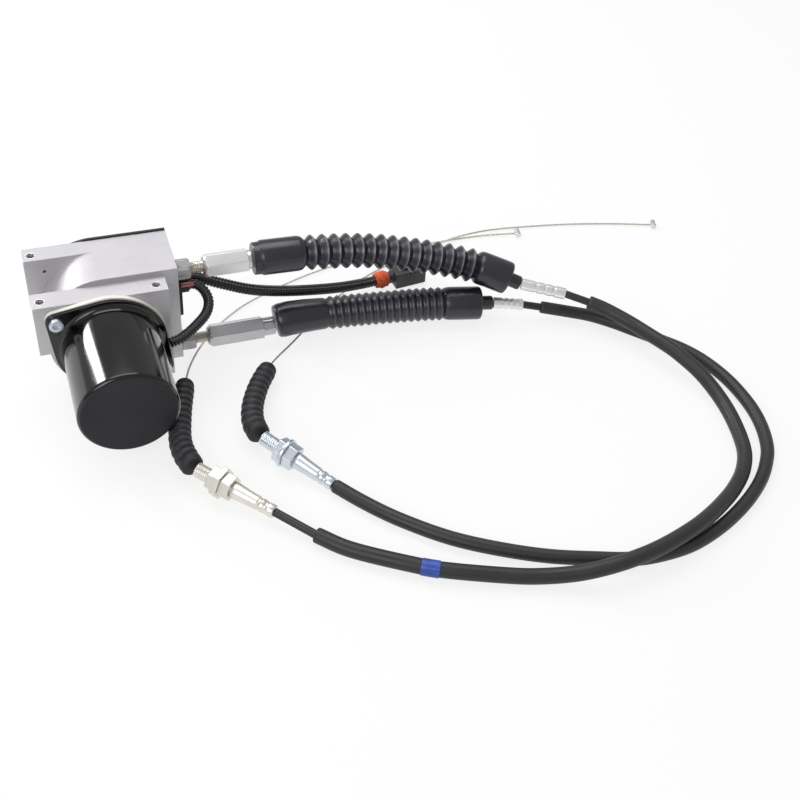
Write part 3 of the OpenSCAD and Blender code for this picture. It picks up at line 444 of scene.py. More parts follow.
NODE_FINISHES: dict[Finish, tuple[str, ...]] = {
    SINTERED_FERRITE: ("magnets",),
    PAPER_LAMINATE: ("brush_holder",),
    PRESSED_CARBON: ("brushes",),
    SINTERED_BRONZE: ("rear_bush", "front_bush", "end_bush", "drum_bushes"),
    GROUND_STEEL: ("cluster_pin", "rotor_shaft"),
    SENSOR_BOARD: ("sensor_track",),
    VARNISHED_IRON: ("armature",),
    TURNED_COPPER: ("commutator", "sensor_wiper"),
    HOBBED_STEEL: ("motor_pinion", "cluster_gear", "output_gear"),
    MILLED_ALUMINIUM: ("drum",),
    DRAWN_STRAND: ("upper_drum_wire", "lower_drum_wire"),
}


# Meshes


# Points on each span of a curve, and the millimetres either side of a ring that give its direction
CURVE_STEPS = 24
TANGENT_REACH = 0.6
# Angle above which the edge of a skin stays sharp, and the steps of a rounded end in radians
SHARP_DEGREES = 40.0
ROUNDING_ANGLES = (0.0, 0.4, 0.8, 1.2)


def vectors(points: Row) -> list[Vector]:
    """Return points as vectors."""
    return [Vector(p) for p in points]


def smooth_line(points: Path, step: float) -> list[Vector]:
    """Lay a smooth curve through points and divide it evenly.

    Args:
        points: Points that the curve passes through.
        step: Distance wanted between the points that come back.

    Returns:
        Evenly spaced points from the first point to the last.
    """
    ends = [2 * points[0] - points[1], *points, 2 * points[-1] - points[-2]]
    fine: list[Vector] = []
    for a, b, c, d in zip(ends, ends[1:], ends[2:], ends[3:]):
        bend = 2 * a - 5 * b + 4 * c - d
        twist = 3 * b - a - 3 * c + d
        for t in (k / CURVE_STEPS for k in range(CURVE_STEPS)):
            fine.append(0.5 * (2 * b + (c - a) * t + bend * t**2 + twist * t**3))
    fine.append(points[-1].copy())
    return divide(fine, step)


def divide(line: Path, step: float) -> list[Vector]:
    """Divide a line of points into even steps.

    Args:
        line: Points of the line.
        step: Distance wanted between the points that come back.

    Returns:
        Evenly spaced points along the line.
    """
    run = [0.0]
    for p, q in zip(line, line[1:]):
        run.append(run[-1] + (q - p).length)
    count = max(2, round(run[-1] / step))
    out: list[Vector] = []
    i = 0
    for k in range(count + 1):
        s = run[-1] * k / count
        while i < len(run) - 2 and run[i + 1] < s:
            i += 1
        span = run[i + 1] - run[i]
        out.append(line[i].lerp(line[i + 1], (s - run[i]) / span if span else 0.0))
    return out


def round_point(centre: Vector, radius: float, turn: float, lift: float) -> Vector:
    """Return a point on a level circle, lifted from its centre."""
    return centre + Vector((radius * math.cos(turn), radius * math.sin(turn), lift))


def line_length(line: Path) -> float:
    """Return the length of a line of points."""
    return sum((q - p).length for p, q in zip(line, line[1:]))


@dataclass
class Ring:
    """One ring of a swept skin: how far along, how wide, and how worn."""

    share: float
    radius: float
    wear: float = 0.0


def point_at(line: Path, share: float) -> Vector:
    """Find the point at a share of the way along a line.

    Args:
        line: Evenly divided line.
        share: Share of its length, held between 0 and 1.

    Returns:
        The point.
    """
    s = min(max(share, 0.0), 1.0) * (len(line) - 1)
    i = min(int(s), len(line) - 2)
    return line[i].lerp(line[i + 1], s - i)


def sweep(
    name: str,
    line: Path,
    rings: Sequence[Ring],
    sides: int,
    swell: Callable[[float, float], Pair] | None = None,
) -> Piece:
    """Sweep rings along a line into a closed skin with a UV map in metres.

    Args:
        name: Name of the new piece.
        line: Evenly divided line in millimetres.
        rings: Rings in order along the line.
        sides: Points on each ring.
        swell: Gives the change of radius and the wear at a distance along and an angle round, if wanted.

    Returns:
        The new object, in metres.
    """
    mesh = bmesh.new()
    wear = mesh.verts.layers.float.new("wear")
    uv = mesh.loops.layers.uv.new("length")
    total = line_length(line)
    ahead = TANGENT_REACH / total
    rows: list[list[bmesh.types.BMVert]] = []
    side = Vector((0.0, 0.0, 0.0))
    for ring in rings:
        tangent = (point_at(line, ring.share + ahead) - point_at(line, ring.share - ahead)).normalized()
        side = side - tangent * side.dot(tangent) if side.length else tangent.cross(UP)
        side.normalize()
        up = side.cross(tangent)
        centre = point_at(line, ring.share)
        row = []
        for k in range(sides):
            angle = FULL_TURN * k / sides
            more, rub = swell(ring.share * total, angle) if swell else (0.0, 0.0)
            reach = ring.radius + more
            vert = mesh.verts.new((centre + (side * math.cos(angle) + up * math.sin(angle)) * reach) * MM)
            vert[wear] = min(1.0, ring.wear + rub)
            row.append(vert)
        rows.append(row)
    for i, (row, following) in enumerate(zip(rows, rows[1:])):
        for k in range(sides):
            n = (k + 1) % sides
            face = mesh.faces.new((row[k], row[n], following[n], following[k]))
            spots = ((i, k), (i, k + 1), (i + 1, k + 1), (i + 1, k))
            for loop, (a, b) in zip(face.loops, spots):
                loop[uv].uv = (rings[a].share * total * MM, b / sides * FULL_TURN * rings[a].radius * MM)
    mesh.faces.new(list(reversed(rows[0])))
    mesh.faces.new(rows[-1])
    bmesh.ops.recalc_face_normals(mesh, faces=mesh.faces)
    return made_object(name, mesh, SHARP_DEGREES)


def placed(name: str, data: bpy.types.ID) -> Piece:
    """Put a mesh, lamp or camera into the scene as an object.

    Args:
        name: Name of the object.
        data: What it shows.

    Returns:
        The new object.
    """
    made = bpy.data.objects.new(name, data)
    bpy.context.scene.collection.objects.link(made)
    return made


def made_object(name: str, mesh: bmesh.types.BMesh, sharp_degrees: float) -> Piece:
    """Turn a working mesh into a smooth-shaded object.

    Args:
        name: Name of the object.
        mesh: Working mesh, freed here.
        sharp_degrees: Angle above which an edge stays sharp.

    Returns:
        The new object in the scene.
    """
    data = bpy.data.meshes.new(name)
    mesh.to_mesh(data)
    mesh.free()
    data.shade_smooth()
    data.set_sharp_from_angle(angle=math.radians(sharp_degrees))
    return placed(name, data)


def eased_copy(name: str, node: str, ease_mm: float) -> Piece:
    """Copy a CAD solid with its square edges broken, as a deburred piece has them.

    Args:
        name: Name of the new piece.
        node: CAD node to copy.
        ease_mm: Width of the broken edge, narrower than any face beside it.

    Returns:
        The new object.
    """
    same_point = 0.002 * MM
    sliver = 0.02 * MM
    one_face = math.radians(0.6)
    square = math.radians(50)
    mesh = bmesh.new()
    mesh.from_mesh(frame["nodes"][node].data)
    bmesh.ops.remove_doubles(mesh, verts=mesh.verts, dist=same_point)
    bmesh.ops.dissolve_limit(mesh, angle_limit=one_face, verts=mesh.verts, edges=mesh.edges, delimit=set())
    bmesh.ops.dissolve_degenerate(mesh, dist=sliver, edges=mesh.edges)
    edges = [e for e in mesh.edges if e.is_manifold and e.calc_face_angle(0.0) > square]
    bmesh.ops.bevel(
        mesh, geom=edges, offset=ease_mm * MM, segments=2, profile=0.5, affect="EDGES", clamp_overlap=False
    )
    piece = made_object(name, mesh, sharp_degrees=35.0)
    flat = piece.modifiers.new("flat faces", "WEIGHTED_NORMAL")
    flat.keep_sharp = True
    return piece


def threaded_rod(name: str, start: Vector, end: Vector, radius: float, pitch: float, depth: float) -> Piece:
    """Roll a thread on a rod.

    Args:
        name: Name of the new piece.
        start: Centre of one end.
        end: Centre of the other end.
        radius: Radius at the crest.
        pitch: Distance from crest to crest.
        depth: Depth of the thread.

    Returns:
        The new object.
    """
    rings_a_turn = 7
    count = int((end - start).length / pitch * rings_a_turn)

    def thread(along: float, angle: float) -> Pair:
        """Return the cut of the thread at a place on the rod."""
        phase = (along / pitch + angle / FULL_TURN) % 1.0
        return (-depth * abs(2 * phase - 1), 0.0)

    return sweep(name, [start, end], plain_rings(count, radius), sides=28, swell=thread)


def joined(name: str, pieces: Sequence[Piece]) -> Piece:
    """Join pieces into one.

    Args:
        name: Name of the joined piece.
        pieces: Pieces to join, the first of which takes in the others.

    Returns:
        The joined piece.
    """
    first = pieces[0]
    if len(pieces) > 1:
        with bpy.context.temp_override(active_object=first, selected_editable_objects=list(pieces)):
            bpy.ops.object.join()
    first.name = name
    return first


def second_finish(piece: Piece, finish: Finish, chosen: Callable[[bpy.types.MeshPolygon], bool]) -> None:
    """Give part of a piece another finish.

    Args:
        piece: Piece that is dressed already.
        finish: The other finish.
        chosen: Says whether a face takes it.
    """
    piece.data.materials.append(finish.material())
    for face in piece.data.polygons:
        if chosen(face):
            face.material_index = 1


def dress(piece: Piece, finish: Finish, slot: str, *nodes: str) -> Piece:
    """Give a piece its finish, its place on the body and the nodes that it stands for.

    Args:
        piece: Piece to dress.
        finish: Surface of the piece.
        slot: Material slot of the record.
        nodes: CAD nodes that the piece replaces.

    Returns:
        The same piece.
    """
    piece.data.materials.clear()
    piece.data.materials.append(finish.material())
    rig.ride(piece, BODY)
    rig.slot(piece, slot)
    if nodes:
        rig.replaces(piece, *nodes)
    LOG.info("%s: %s, %d faces", piece.name, finish.name, len(piece.data.polygons))
    return piece


def dressed_copy(name: str, node: str, finish: Finish, slot: str, ease_mm: float) -> Piece:
    """Copy a CAD solid with its edges broken and dress the copy in its stead."""
    return dress(eased_copy(name, node, ease_mm), finish, slot, node)


def plain_rings(count: int, radius: float) -> list[Ring]:
    """Return rings of one radius at the ends of even steps along a line."""
    return [Ring(k / count, radius) for k in range(count + 1)]


def profile_rings(profile: Profile) -> list[Ring]:
    """Return rings for pairs of a share of the length and a radius."""
    return [Ring(share, radius) for share, radius in profile]


def even_rings(line: Path, radius: float, round_ends: float) -> list[Ring]:
    """Make rings of one radius along a line, with rounded ends.

    Args:
        line: Evenly divided line.
        radius: Radius of the rings.
        round_ends: Radius of the rounding at each end.

    Returns:
        Rings from end to end.
    """
    total = line_length(line)
    ends = [
        Ring(round_ends * (1 - math.cos(a)) / total, radius - round_ends * (1 - math.sin(a)))
        for a in ROUNDING_ANGLES
    ]
    inner = plain_rings(len(line) - 1, radius)
    body = [r for r in inner if round_ends / total < r.share < 1 - round_ends / total]
    return ends + body + [Ring(1 - r.share, r.radius) for r in reversed(ends)]


class FarEnd(Enum):
    """What a cord ends in."""

    FITTING = "fitting"
    CONNECTOR = "connector"
    OBJECT = "object"


class Stiffness(Enum):
    """How a cord bends."""

    MEDIUM = "medium"
    STIFF = "stiff"


def declare_cord(
    piece: Piece,
    line: Path,
    diameter: float,
    far_end: FarEnd,
    stiffness: Stiffness,
    end_pieces: Sequence[Piece],
) -> None:
    """Declare a swept piece as a free cord that lies loose.

    Args:
        piece: Piece that is the cord.
        line: Line that it follows.
        diameter: Diameter of the cord.
        far_end: What it ends in.
        stiffness: How it bends.
        end_pieces: Separate pieces on it.
    """
    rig.cord(
        piece,
        exit=line[0] * MM,
        length=line_length(line) * MM,
        diameter=diameter * MM,
        far_end=far_end.value,
        stiffness=stiffness.value,
        lay="loose",
        path=[p * MM for p in line],
        with_pieces=list(end_pieces),
    )


# Sub-assemblies


@dataclass
class Housing:
    """Milled housing with its tapped holes, and its cover."""

    hole_r: float = 2.5
    hole_depth: float = 14.0
    thread_pitch: float = 1.0
    thread_crest_r: float = 0.28
    thread_runout: float = 1.0
    thread_steps: int = 20
    lip_w: float = 0.9
    lip_rise: float = 0.16
    lip_steps: int = 48
    holes: Row = ((-42.0, 21.25, 78.0), (-42.0, -22.5, 74.0), (31.5, -22.5, 74.0))

    def build(self) -> None:
        """Make and dress the pieces."""
        dressed_copy("housing_casting", "housing", MILLED_ALUMINIUM, "machined_aluminium", ease_mm=0.2)
        dressed_copy("rear_cover", "back_cover", MOULDED_NYLON, "black_cover", ease_mm=0.3)
        dressed_copy("rear_cover_screws", "cover_screws", CLEAR_ZINC, "zinc_steel", ease_mm=0.3)
        for i, hole in enumerate(self.holes):
            self._thread(i, Vector(hole))
            self._lip(i, Vector(hole))

    def _lip(self, index: int, mouth: Vector) -> None:
        """Turn the bright lip that the tap raised round one hole.

        Args:
            index: Number of the hole.
            mouth: Centre of the hole's mouth.
        """
        half = self.lip_w / 2
        line = [
            round_point(mouth, self.hole_r + half, FULL_TURN * k / self.lip_steps, self.lip_rise - half)
            for k in range(self.lip_steps + 1)
        ]
        piece = sweep(f"tapped_lip_{index + 1}", line, plain_rings(self.lip_steps, half), sides=12)
        dress(piece, BURNISHED_ALUMINIUM, "machined_aluminium")

    def _thread(self, index: int, mouth: Vector) -> None:
        """Wind the thread of one tapped hole.

        Args:
            index: Number of the hole.
            mouth: Centre of the hole's mouth.
        """
        run = self.hole_depth - 2 * self.thread_runout
        turns = run / self.thread_pitch
        steps = int(turns * self.thread_steps)
        line = [
            round_point(
                mouth, self.hole_r, FULL_TURN * turns * k / steps, -self.thread_runout - run * k / steps
            )
            for k in range(steps + 1)
        ]
        rings = plain_rings(steps, self.thread_crest_r)
        piece = sweep(f"tapped_thread_{index + 1}", line, rings, sides=6)
        dress(piece, MILLED_ALUMINIUM, "machined_aluminium")


@dataclass
class Motor:
    """Drawn motor can with its flange, spacer and screws."""

    axis_x: float = -2.0
    axis_z: float = 39.0
    can_r: float = 32.0
    end_y: float = -101.0
    end_reach: float = 0.6
    end_facing: float = -0.9
    flange_face_y: float = -34.5
    fillet: float = 3.5
    fillet_root: float = 0.2
    fillet_steps: int = 8
    fillet_sides: int = 96

    def build(self) -> None:
        """Make and dress the pieces."""
        can = dressed_copy("drawn_motor_can", "motor_can", STOVED_ENAMEL, "black_enamel", ease_mm=0.4)
        second_finish(can, DULL_ENAMEL, self._on_flat_end)
        dress(self._flange_fillet(), STOVED_ENAMEL, "black_enamel")
        dressed_copy("insulating_spacer", "motor_spacer", PRESSED_BOARD, "spacer_board", ease_mm=0.3)
        dressed_copy("flange_screws", "motor_screws", BLUE_ZINC, "zinc_steel", ease_mm=0.4)

    def _on_flat_end(self, face: bpy.types.MeshPolygon) -> bool:
        """Say whether a face is on the flat end of the can."""
        return face.center.y < (self.end_y + self.end_reach) * MM and face.normal.y < self.end_facing

    def _fillet_point(self, radius: float, y: float, turn: float) -> Point:
        """Return a point of the fillet, in metres."""
        x = self.axis_x + radius * math.cos(turn)
        return (x * MM, y * MM, (self.axis_z + radius * math.sin(turn)) * MM)

    def _flange_fillet(self) -> Piece:
        """Turn the rounded foot between can and flange.

        Returns:
            The ring, not yet dressed.
        """
        profile = [(self.can_r - self.fillet_root, self.flange_face_y + self.fillet_root)]
        for k in range(self.fillet_steps + 1):
            bend = math.pi / 2 * k / self.fillet_steps
            reach = self.can_r + self.fillet * (1 - math.cos(bend))
            profile.append((reach, self.flange_face_y - self.fillet * (1 - math.sin(bend))))
        mesh = bmesh.new()
        rows = []
        for k in range(self.fillet_sides):
            turn = FULL_TURN * k / self.fillet_sides
            rows.append([mesh.verts.new(self._fillet_point(r, y, turn)) for r, y in profile])
        for row, following in zip(rows, rows[1:] + rows[:1]):
            for i in range(len(profile)):
                n = (i + 1) % len(profile)
                mesh.faces.new((row[i], row[n], following[n], following[i]))
        bmesh.ops.recalc_face_normals(mesh, faces=mesh.faces)
        return made_object("flange_fillet", mesh, SHARP_DEGREES)


@dataclass
class CableOutlets:
    """Threaded stubs, lock nuts and hex sleeves on the cable face."""

    stub_start: float = 42.2
    stub_end: float = 72.8
    stub_r: float = 4.0
    pitch: float = 1.25
    depth: float = 0.55
    places: tuple[tuple[str, float, float, Finish], ...] = (
        ("upper", -3.0, 68.0, CLEAR_ZINC),
        ("lower", -8.0, 10.0, GREY_ZINC),
    )

    def build(self) -> None:
        """Make and dress the pieces."""
        for name, y, z, sleeve_finish in self.places:
            start = Vector((self.stub_start, y, z))
            end = Vector((self.stub_end, y, z))
            stub = threaded_rod(f"{name}_threaded_stub", start, end, self.stub_r, self.pitch, self.depth)
            dress(stub, YELLOW_ZINC, "yellow_zinc", f"{name}_stub")
            sleeve = f"{name}_turnbuckle_sleeve"
            dressed_copy(sleeve, f"{name}_hex_sleeve", sleeve_finish, "zinc_steel", ease_mm=0.3)
        dressed_copy("outlet_lock_nuts", "lock_nuts", DULL_ZINC, "zinc_steel", ease_mm=0.3)


@dataclass
class RibbedSleeve:
    """Rubber bellows or boot along a spine.

    The head and tail are pairs of a share of the length and a radius, and the ribs lie between them.
    """

    name: str
    node: str
    finish: Finish
    spine: Row
    head: Profile
    tail: Profile
    ribs: int
    rib_span: Pair
    rib_r: Pair
    depth: float
    ridge_wear: float = 0.9
    lobed: bool = False
    sides: int = 56
    rib_steps: int = 10
    rubbed_from: float = 0.82
    vee_share: float = 0.7
    lobe_power: float = 0.55

    def build(self) -> None:
        """Make and dress the sleeve."""
        line = smooth_line(vectors(self.spine), step=1.0)
        rings = profile_rings(self.head)
        steps = self.ribs * self.rib_steps
        for i in range(steps):
            t = i / steps
            outer = self.rib_r[0] + (self.rib_r[1] - self.rib_r[0]) * t
            rise = self._rise((i % self.rib_steps) / self.rib_steps)
            share = self.rib_span[0] + (self.rib_span[1] - self.rib_span[0]) * t
            rubbed = self.ridge_wear * max(0.0, rise - self.rubbed_from) / (1 - self.rubbed_from)
            rings.append(Ring(share, outer - self.depth * (1 - rise), rubbed))
        rings += profile_rings(self.tail)
        dress(sweep(self.name, line, rings, self.sides), self.finish, "black_rubber", self.node)

    def _rise(self, phase: float) -> float:
        """Return how far up a rib its surface is, from 0 in the valley to 1 on the ridge.

        Args:
            phase: Share of the way from one valley to the next.

        Returns:
            The height as a share of the rib's depth.
        """
        if self.lobed:
            return math.sin(math.pi * phase) ** self.lobe_power
        vee = 1 - abs(2 * phase - 1)
        wave = 0.5 - 0.5 * math.cos(FULL_TURN * phase)
        return self.vee_share * vee + (1 - self.vee_share) * wave


UPPER_BELLOWS = RibbedSleeve(
    "upper_rubber_bellows",
    "upper_bellows",
    MOULDED_RUBBER,
    spine=(
        (99.0, -3.0, 68.0), (134.46, -4.0, 67.5), (183.71, -2.0, 59.2), (232.96, -5.0, 46.2),
        (268.42, -13.0, 36.4), (296.0, -27.0, 27.3),
    ),
    head=(
        (0.006, 7.0), (0.0065, 10.6), (0.009, 11.1), (0.029, 11.2), (0.032, 11.4), (0.035, 12.0),
        (0.04, 12.1), (0.155, 12.1), (0.163, 11.9), (0.169, 11.5), (0.176, 10.2),
    ),
    tail=(
        (0.82, 8.7), (0.826, 10.6), (0.832, 11.7), (0.84, 12.1), (0.85, 12.2), (0.938, 12.2), (0.945, 12.0),
        (0.95, 11.4), (0.953, 10.0), (0.9545, 5.4), (0.96, 5.2), (0.988, 5.2), (0.993, 4.9), (0.995, 4.4),
    ),
    ribs=15,
    rib_span=(0.183, 0.82),
    rib_r=(12.2, 12.5),
    depth=3.8,
)
LOWER_BELLOWS = RibbedSleeve(
    "lower_rubber_bellows",
    "lower_bellows",
    MOULDED_RUBBER,
    spine=(
        (114.0, -8.0, 12.6), (127.77, -8.0, 14.2), (154.5, -9.5, 14.3), (191.76, -12.5, 13.8),
        (233.07, -17.5, 13.2), (276.0, -26.0, 12.7),
    ),
    head=(
        (0.006, 7.0), (0.0075, 10.6), (0.012, 11.5), (0.03, 12.3), (0.07, 12.3), (0.14, 11.9),
        (0.2, 11.4), (0.224, 11.2), (0.232, 10.8), (0.237, 10.2),
    ),
    tail=(
        (0.765, 10.0), (0.771, 11.2), (0.777, 11.7), (0.795, 12.2), (0.926, 12.2), (0.933, 12.0),
        (0.938, 11.4), (0.941, 10.0), (0.9425, 5.4), (0.948, 5.2), (0.988, 5.2), (0.993, 4.9), (0.995, 4.4),
    ),
    ribs=16,
    rib_span=(0.242, 0.765),
    rib_r=(12.0, 12.3),
    depth=1.6,
    ridge_wear=0.35,
)
UPPER_BOOT = RibbedSleeve(
    "upper_rubber_boot",
    "upper_boot",
    BOOT_RUBBER,
    spine=(
        (30.2, -129.9, 12.0), (27.1, -116.2, 12.0), (27.4, -102.2, 11.5), (32.1, -81.4, 10.6),
        (37.6, -62.6, 9.8), (41.8, -49.2, 8.5),
    ),
    head=((0.004, 5.8), (0.007, 6.7), (0.02, 7.4), (0.07, 7.6), (0.082, 7.3)),
    tail=((0.93, 5.6), (0.945, 6.3), (0.965, 6.1), (0.978, 5.6), (0.99, 4.7), (0.996, 3.6)),
    ribs=12,
    rib_span=(0.09, 0.93),
    rib_r=(7.8, 6.8),
    depth=1.4,
    ridge_wear=0.5,
    lobed=True,
    sides=40,
)
LOWER_BOOT = replace(
    UPPER_BOOT,
    name="lower_rubber_boot",
    node="lower_boot",
    spine=(
        (76.5, -114.0, 13.0), (75.6, -100.8, 12.5), (79.4, -84.8, 11.6), (88.4, -65.8, 10.2),
        (99.9, -48.3, 8.5),
    ),
    ribs=10,
)


@dataclass
class ThrottleCable:
    """One sheathed throttle cable from its bellows to its end fitting, with the inner wire beyond."""

    name: str
    diameter: float
    route: Row
    wire_route: Row
    conduit_runs: tuple[tuple[Point, Point], ...]
    stem_run: tuple[Point, Point]
    fitting_run: tuple[Point, Point]
    fitting_finish: Finish
    end_node: str
    stem_r: float = 5.0
    stem_pitch: float = 1.4
    stem_depth: float = 0.3
    fitting_profile: Profile = (
        (0.0, 3.6), (0.003, 4.1), (0.007, 4.3), (0.07, 4.35), (0.076, 4.3), (0.085, 3.9), (0.11, 3.9),
        (0.119, 4.35), (0.155, 4.45), (0.164, 4.0), (0.19, 4.0), (0.199, 4.5), (0.27, 4.65), (0.35, 4.95),
        (0.45, 5.4), (0.49, 5.5), (0.495, 5.3), (0.496, 4.6), (0.94, 4.6), (0.945, 4.2),
    )
    lower_side_x: float = 68.0
    conduit_d: float = 5.5
    wire_d: float = 1.5
    wire_lay: float = 9.0
    wire_strands: int = 6
    strand_hollow: float = 0.09
    nipple_r: float = 2.2
    nipple_l: float = 7.8
    nipple_past_wire: float = 1.4
    nipple_chamfer: float = 0.45
    nipple_above_floor: float = 0.1

    def build(self) -> None:
        line = smooth_line(vectors(self.route), step=2.5)
        rings = even_rings(line, self.diameter / 2, round_ends=1.0)
        sleeve = sweep(f"{self.name}_cable_sleeve", line, rings, sides=28)
        dress(sleeve, SHRUNK_SLEEVE, "cable_sleeve", f"{self.name}_cable")
        conduit = self._conduit()
        ferrule = dressed_copy(
            f"{self.name}_crimped_ferrule", f"{self.name}_ferrule", CRIMPED_ZINC, "zinc_steel", ease_mm=0.3
        )
        fitting = self._end_fitting()
        first, last = vectors(self.stem_run)
        stem = threaded_rod(
            f"{self.name}_end_thread", first, last, self.stem_r, self.stem_pitch, self.stem_depth
        )
        dress(stem, self.fitting_finish, "zinc_steel")
        nuts = dressed_copy(f"engine_{self.end_node}", self.end_node, WARM_ZINC, "zinc_steel", ease_mm=0.5)
        second_finish(nuts, BLUE_ZINC, self._on_lower_end)
        on_sleeve = [conduit, ferrule, fitting, stem, nuts]
        declare_cord(sleeve, line, self.diameter, FarEnd.FITTING, Stiffness.STIFF, on_sleeve)
        self._wire()

    def _end_fitting(self) -> Piece:
        """Turn the tapered, crimped tube that the nuts sit on.

        Returns:
            The dressed fitting.
        """
        line = divide(vectors(self.fitting_run), step=1.0)
        fitting = sweep(f"{self.name}_end_fitting", line, profile_rings(self.fitting_profile), sides=40)
        return dress(fitting, self.fitting_finish, "zinc_steel", f"{self.name}_end_ferrule")

    def _on_lower_end(self, face: bpy.types.MeshPolygon) -> bool:
        """Say whether a face is on the lower cable's end fitting."""
        return face.center.x > self.lower_side_x * MM

    def _conduit(self) -> Piece:
        """Make the bare conduit where it shows, joined into one piece.

        Returns:
            The dressed conduit.
        """
        runs = []
        for i, run in enumerate(self.conduit_runs):
            line = divide(vectors(run), step=1.5)
            rings = even_rings(line, self.conduit_d / 2, round_ends=0.3)
            runs.append(sweep(f"{self.name}_conduit_{i}", line, rings, sides=24))
        conduit = joined(f"{self.name}_bare_conduit", runs)
        return dress(conduit, NYLON_CONDUIT, "conduit_plastic", f"{self.name}_conduit")

    def _wire(self) -> None:
        line = smooth_line(vectors(self.wire_route), step=1.1)
        rings = plain_rings(len(line) - 1, self.wire_d / 2)
        wire = sweep(f"{self.name}_inner_wire", line, rings, sides=18, swell=self._strand)
        dress(wire, DRAWN_STRAND, "wire_strand", f"{self.name}_wire")
        declare_cord(wire, line, self.wire_d, FarEnd.FITTING, Stiffness.STIFF, [self._nipple(line)])

    def _strand(self, along: float, angle: float) -> Pair:
        """Return the hollow between strands at a place on the wire, and no wear."""
        turn = angle + FULL_TURN * along / self.wire_lay
        return (-self.strand_hollow * (1 - abs(math.cos(self.wire_strands / 2 * turn))), 0.0)

    def _nipple(self, wire_line: Path) -> Piece:
        """Turn the barrel nipple that lies across the end of the wire.

        Args:
            wire_line: Line of the wire.

        Returns:
            The dressed nipple.
        """
        ahead = (wire_line[-1] - wire_line[-2]).normalized()
        centre = wire_line[-1] + ahead * self.nipple_past_wire
        centre.z = self.nipple_r + self.nipple_above_floor
        half = ahead.cross(UP).normalized() * self.nipple_l / 2
        edge = self.nipple_chamfer / self.nipple_l
        narrow = self.nipple_r - self.nipple_chamfer
        profile = ((0.0, narrow), (edge, self.nipple_r), (1 - edge, self.nipple_r), (1.0, narrow))
        line = [centre - half, centre + half]
        nipple = sweep(f"{self.name}_barrel_nipple", line, profile_rings(profile), sides=32)
        return dress(nipple, CLEAR_ZINC, "zinc_steel", f"{self.name}_wire_nipple")


UPPER_CABLE = ThrottleCable(
    name="upper",
    diameter=10.0,
    route=(
        (340.8, -51.3, 20.5), (350.1, -58.7, 18.6), (358.2, -67.8, 17.0), (365.6, -78.2, 15.8),
        (371.8, -89.5, 15.2), (378.0, -101.3, 14.9), (383.7, -112.9, 14.0), (392.0, -132.5, 10.5),
        (396.0, -155.1, 6.8), (394.5, -178.0, 5.3), (387.5, -203.5, 5.3), (376.5, -220.5, 5.6),
        (360.8, -234.6, 7.2), (342.5, -246.9, 10.2), (323.2, -257.5, 13.1), (306.0, -264.5, 14.7),
        (290.6, -269.2, 15.1), (276.5, -272.2, 15.1), (259.5, -273.9, 14.4), (244.0, -273.0, 12.0),
        (229.5, -270.0, 8.7), (212.6, -264.8, 5.9), (194.1, -258.8, 5.3), (158.2, -244.7, 5.6),
        (138.8, -234.4, 5.6), (107.5, -213.8, 5.3), (90.4, -197.2, 5.4),
    ),
    wire_route=(
        (42.4, -47.7, 8.3), (47.0, -34.0, 5.5), (54.0, -19.0, 2.5), (61.5, -7.0, 1.2), (72.0, 6.0, 0.9),
        (88.0, 20.0, 0.9), (107.0, 32.5, 0.9), (139.0, 46.5, 0.9), (172.0, 57.0, 0.9), (218.0, 65.5, 0.9),
        (266.0, 68.0, 0.9), (304.0, 68.0, 0.9), (334.0, 63.5, 1.6),
    ),
    conduit_runs=(
        ((326.0, -40.8, 23.0), (341.6, -51.9, 20.4)),
        ((91.1, -198.0, 5.3), (70.0, -174.4, 7.7)),
    ),
    stem_run=((39.2, -139.9, 11.0), (32.2, -132.1, 11.8)),
    fitting_run=((70.53, -174.99, 7.58), (30.2, -129.9, 12.0)),
    fitting_finish=WARM_ZINC,
    end_node="end_nuts",
)
LOWER_CABLE = ThrottleCable(
    name="lower",
    diameter=9.0,
    route=(
        (310.9, -35.4, 9.0), (328.5, -42.2, 7.0), (345.1, -49.8, 5.6), (358.7, -60.1, 4.9),
        (370.9, -72.5, 4.7), (385.0, -87.5, 4.7), (398.0, -102.7, 4.7), (407.0, -119.5, 4.7),
        (413.0, -140.7, 4.7), (414.7, -164.4, 4.7), (412.1, -185.0, 4.7), (405.1, -204.8, 4.7),
        (395.9, -218.5, 4.7), (384.0, -231.0, 4.7), (368.2, -242.9, 4.7), (350.3, -253.2, 4.7),
        (333.6, -260.6, 4.7), (316.4, -266.1, 4.7), (301.2, -268.4, 4.7), (281.6, -268.4, 4.7),
        (266.1, -265.6, 4.7), (251.3, -261.0, 4.7), (222.5, -251.0, 4.7), (194.5, -237.2, 4.7),
        (168.2, -220.6, 4.7), (143.8, -199.1, 4.7), (126.9, -180.1, 4.7), (112.9, -161.6, 4.9),
    ),
    wire_route=(
        (100.7, -47.0, 8.2), (109.0, -36.0, 4.6), (123.0, -21.5, 1.5), (137.0, -8.0, 0.9),
        (152.0, 7.0, 0.9), (192.0, 36.0, 0.9), (231.0, 54.0, 0.9), (266.0, 65.0, 1.6), (292.0, 69.7, 2.8),
        (323.0, 72.5, 1.4), (375.0, 67.0, 0.9), (416.0, 58.5, 0.9), (450.0, 48.0, 1.6),
    ),
    conduit_runs=(((297.5, -31.3, 10.8), (312.1, -35.8, 8.8)),),
    stem_run=((85.6, -125.9, 11.0), (78.3, -116.4, 12.6)),
    fitting_run=((112.42, -160.97, 5.01), (76.5, -114.0, 13.0)),
    fitting_finish=BLUE_ZINC,
    end_node="end_washers",
)


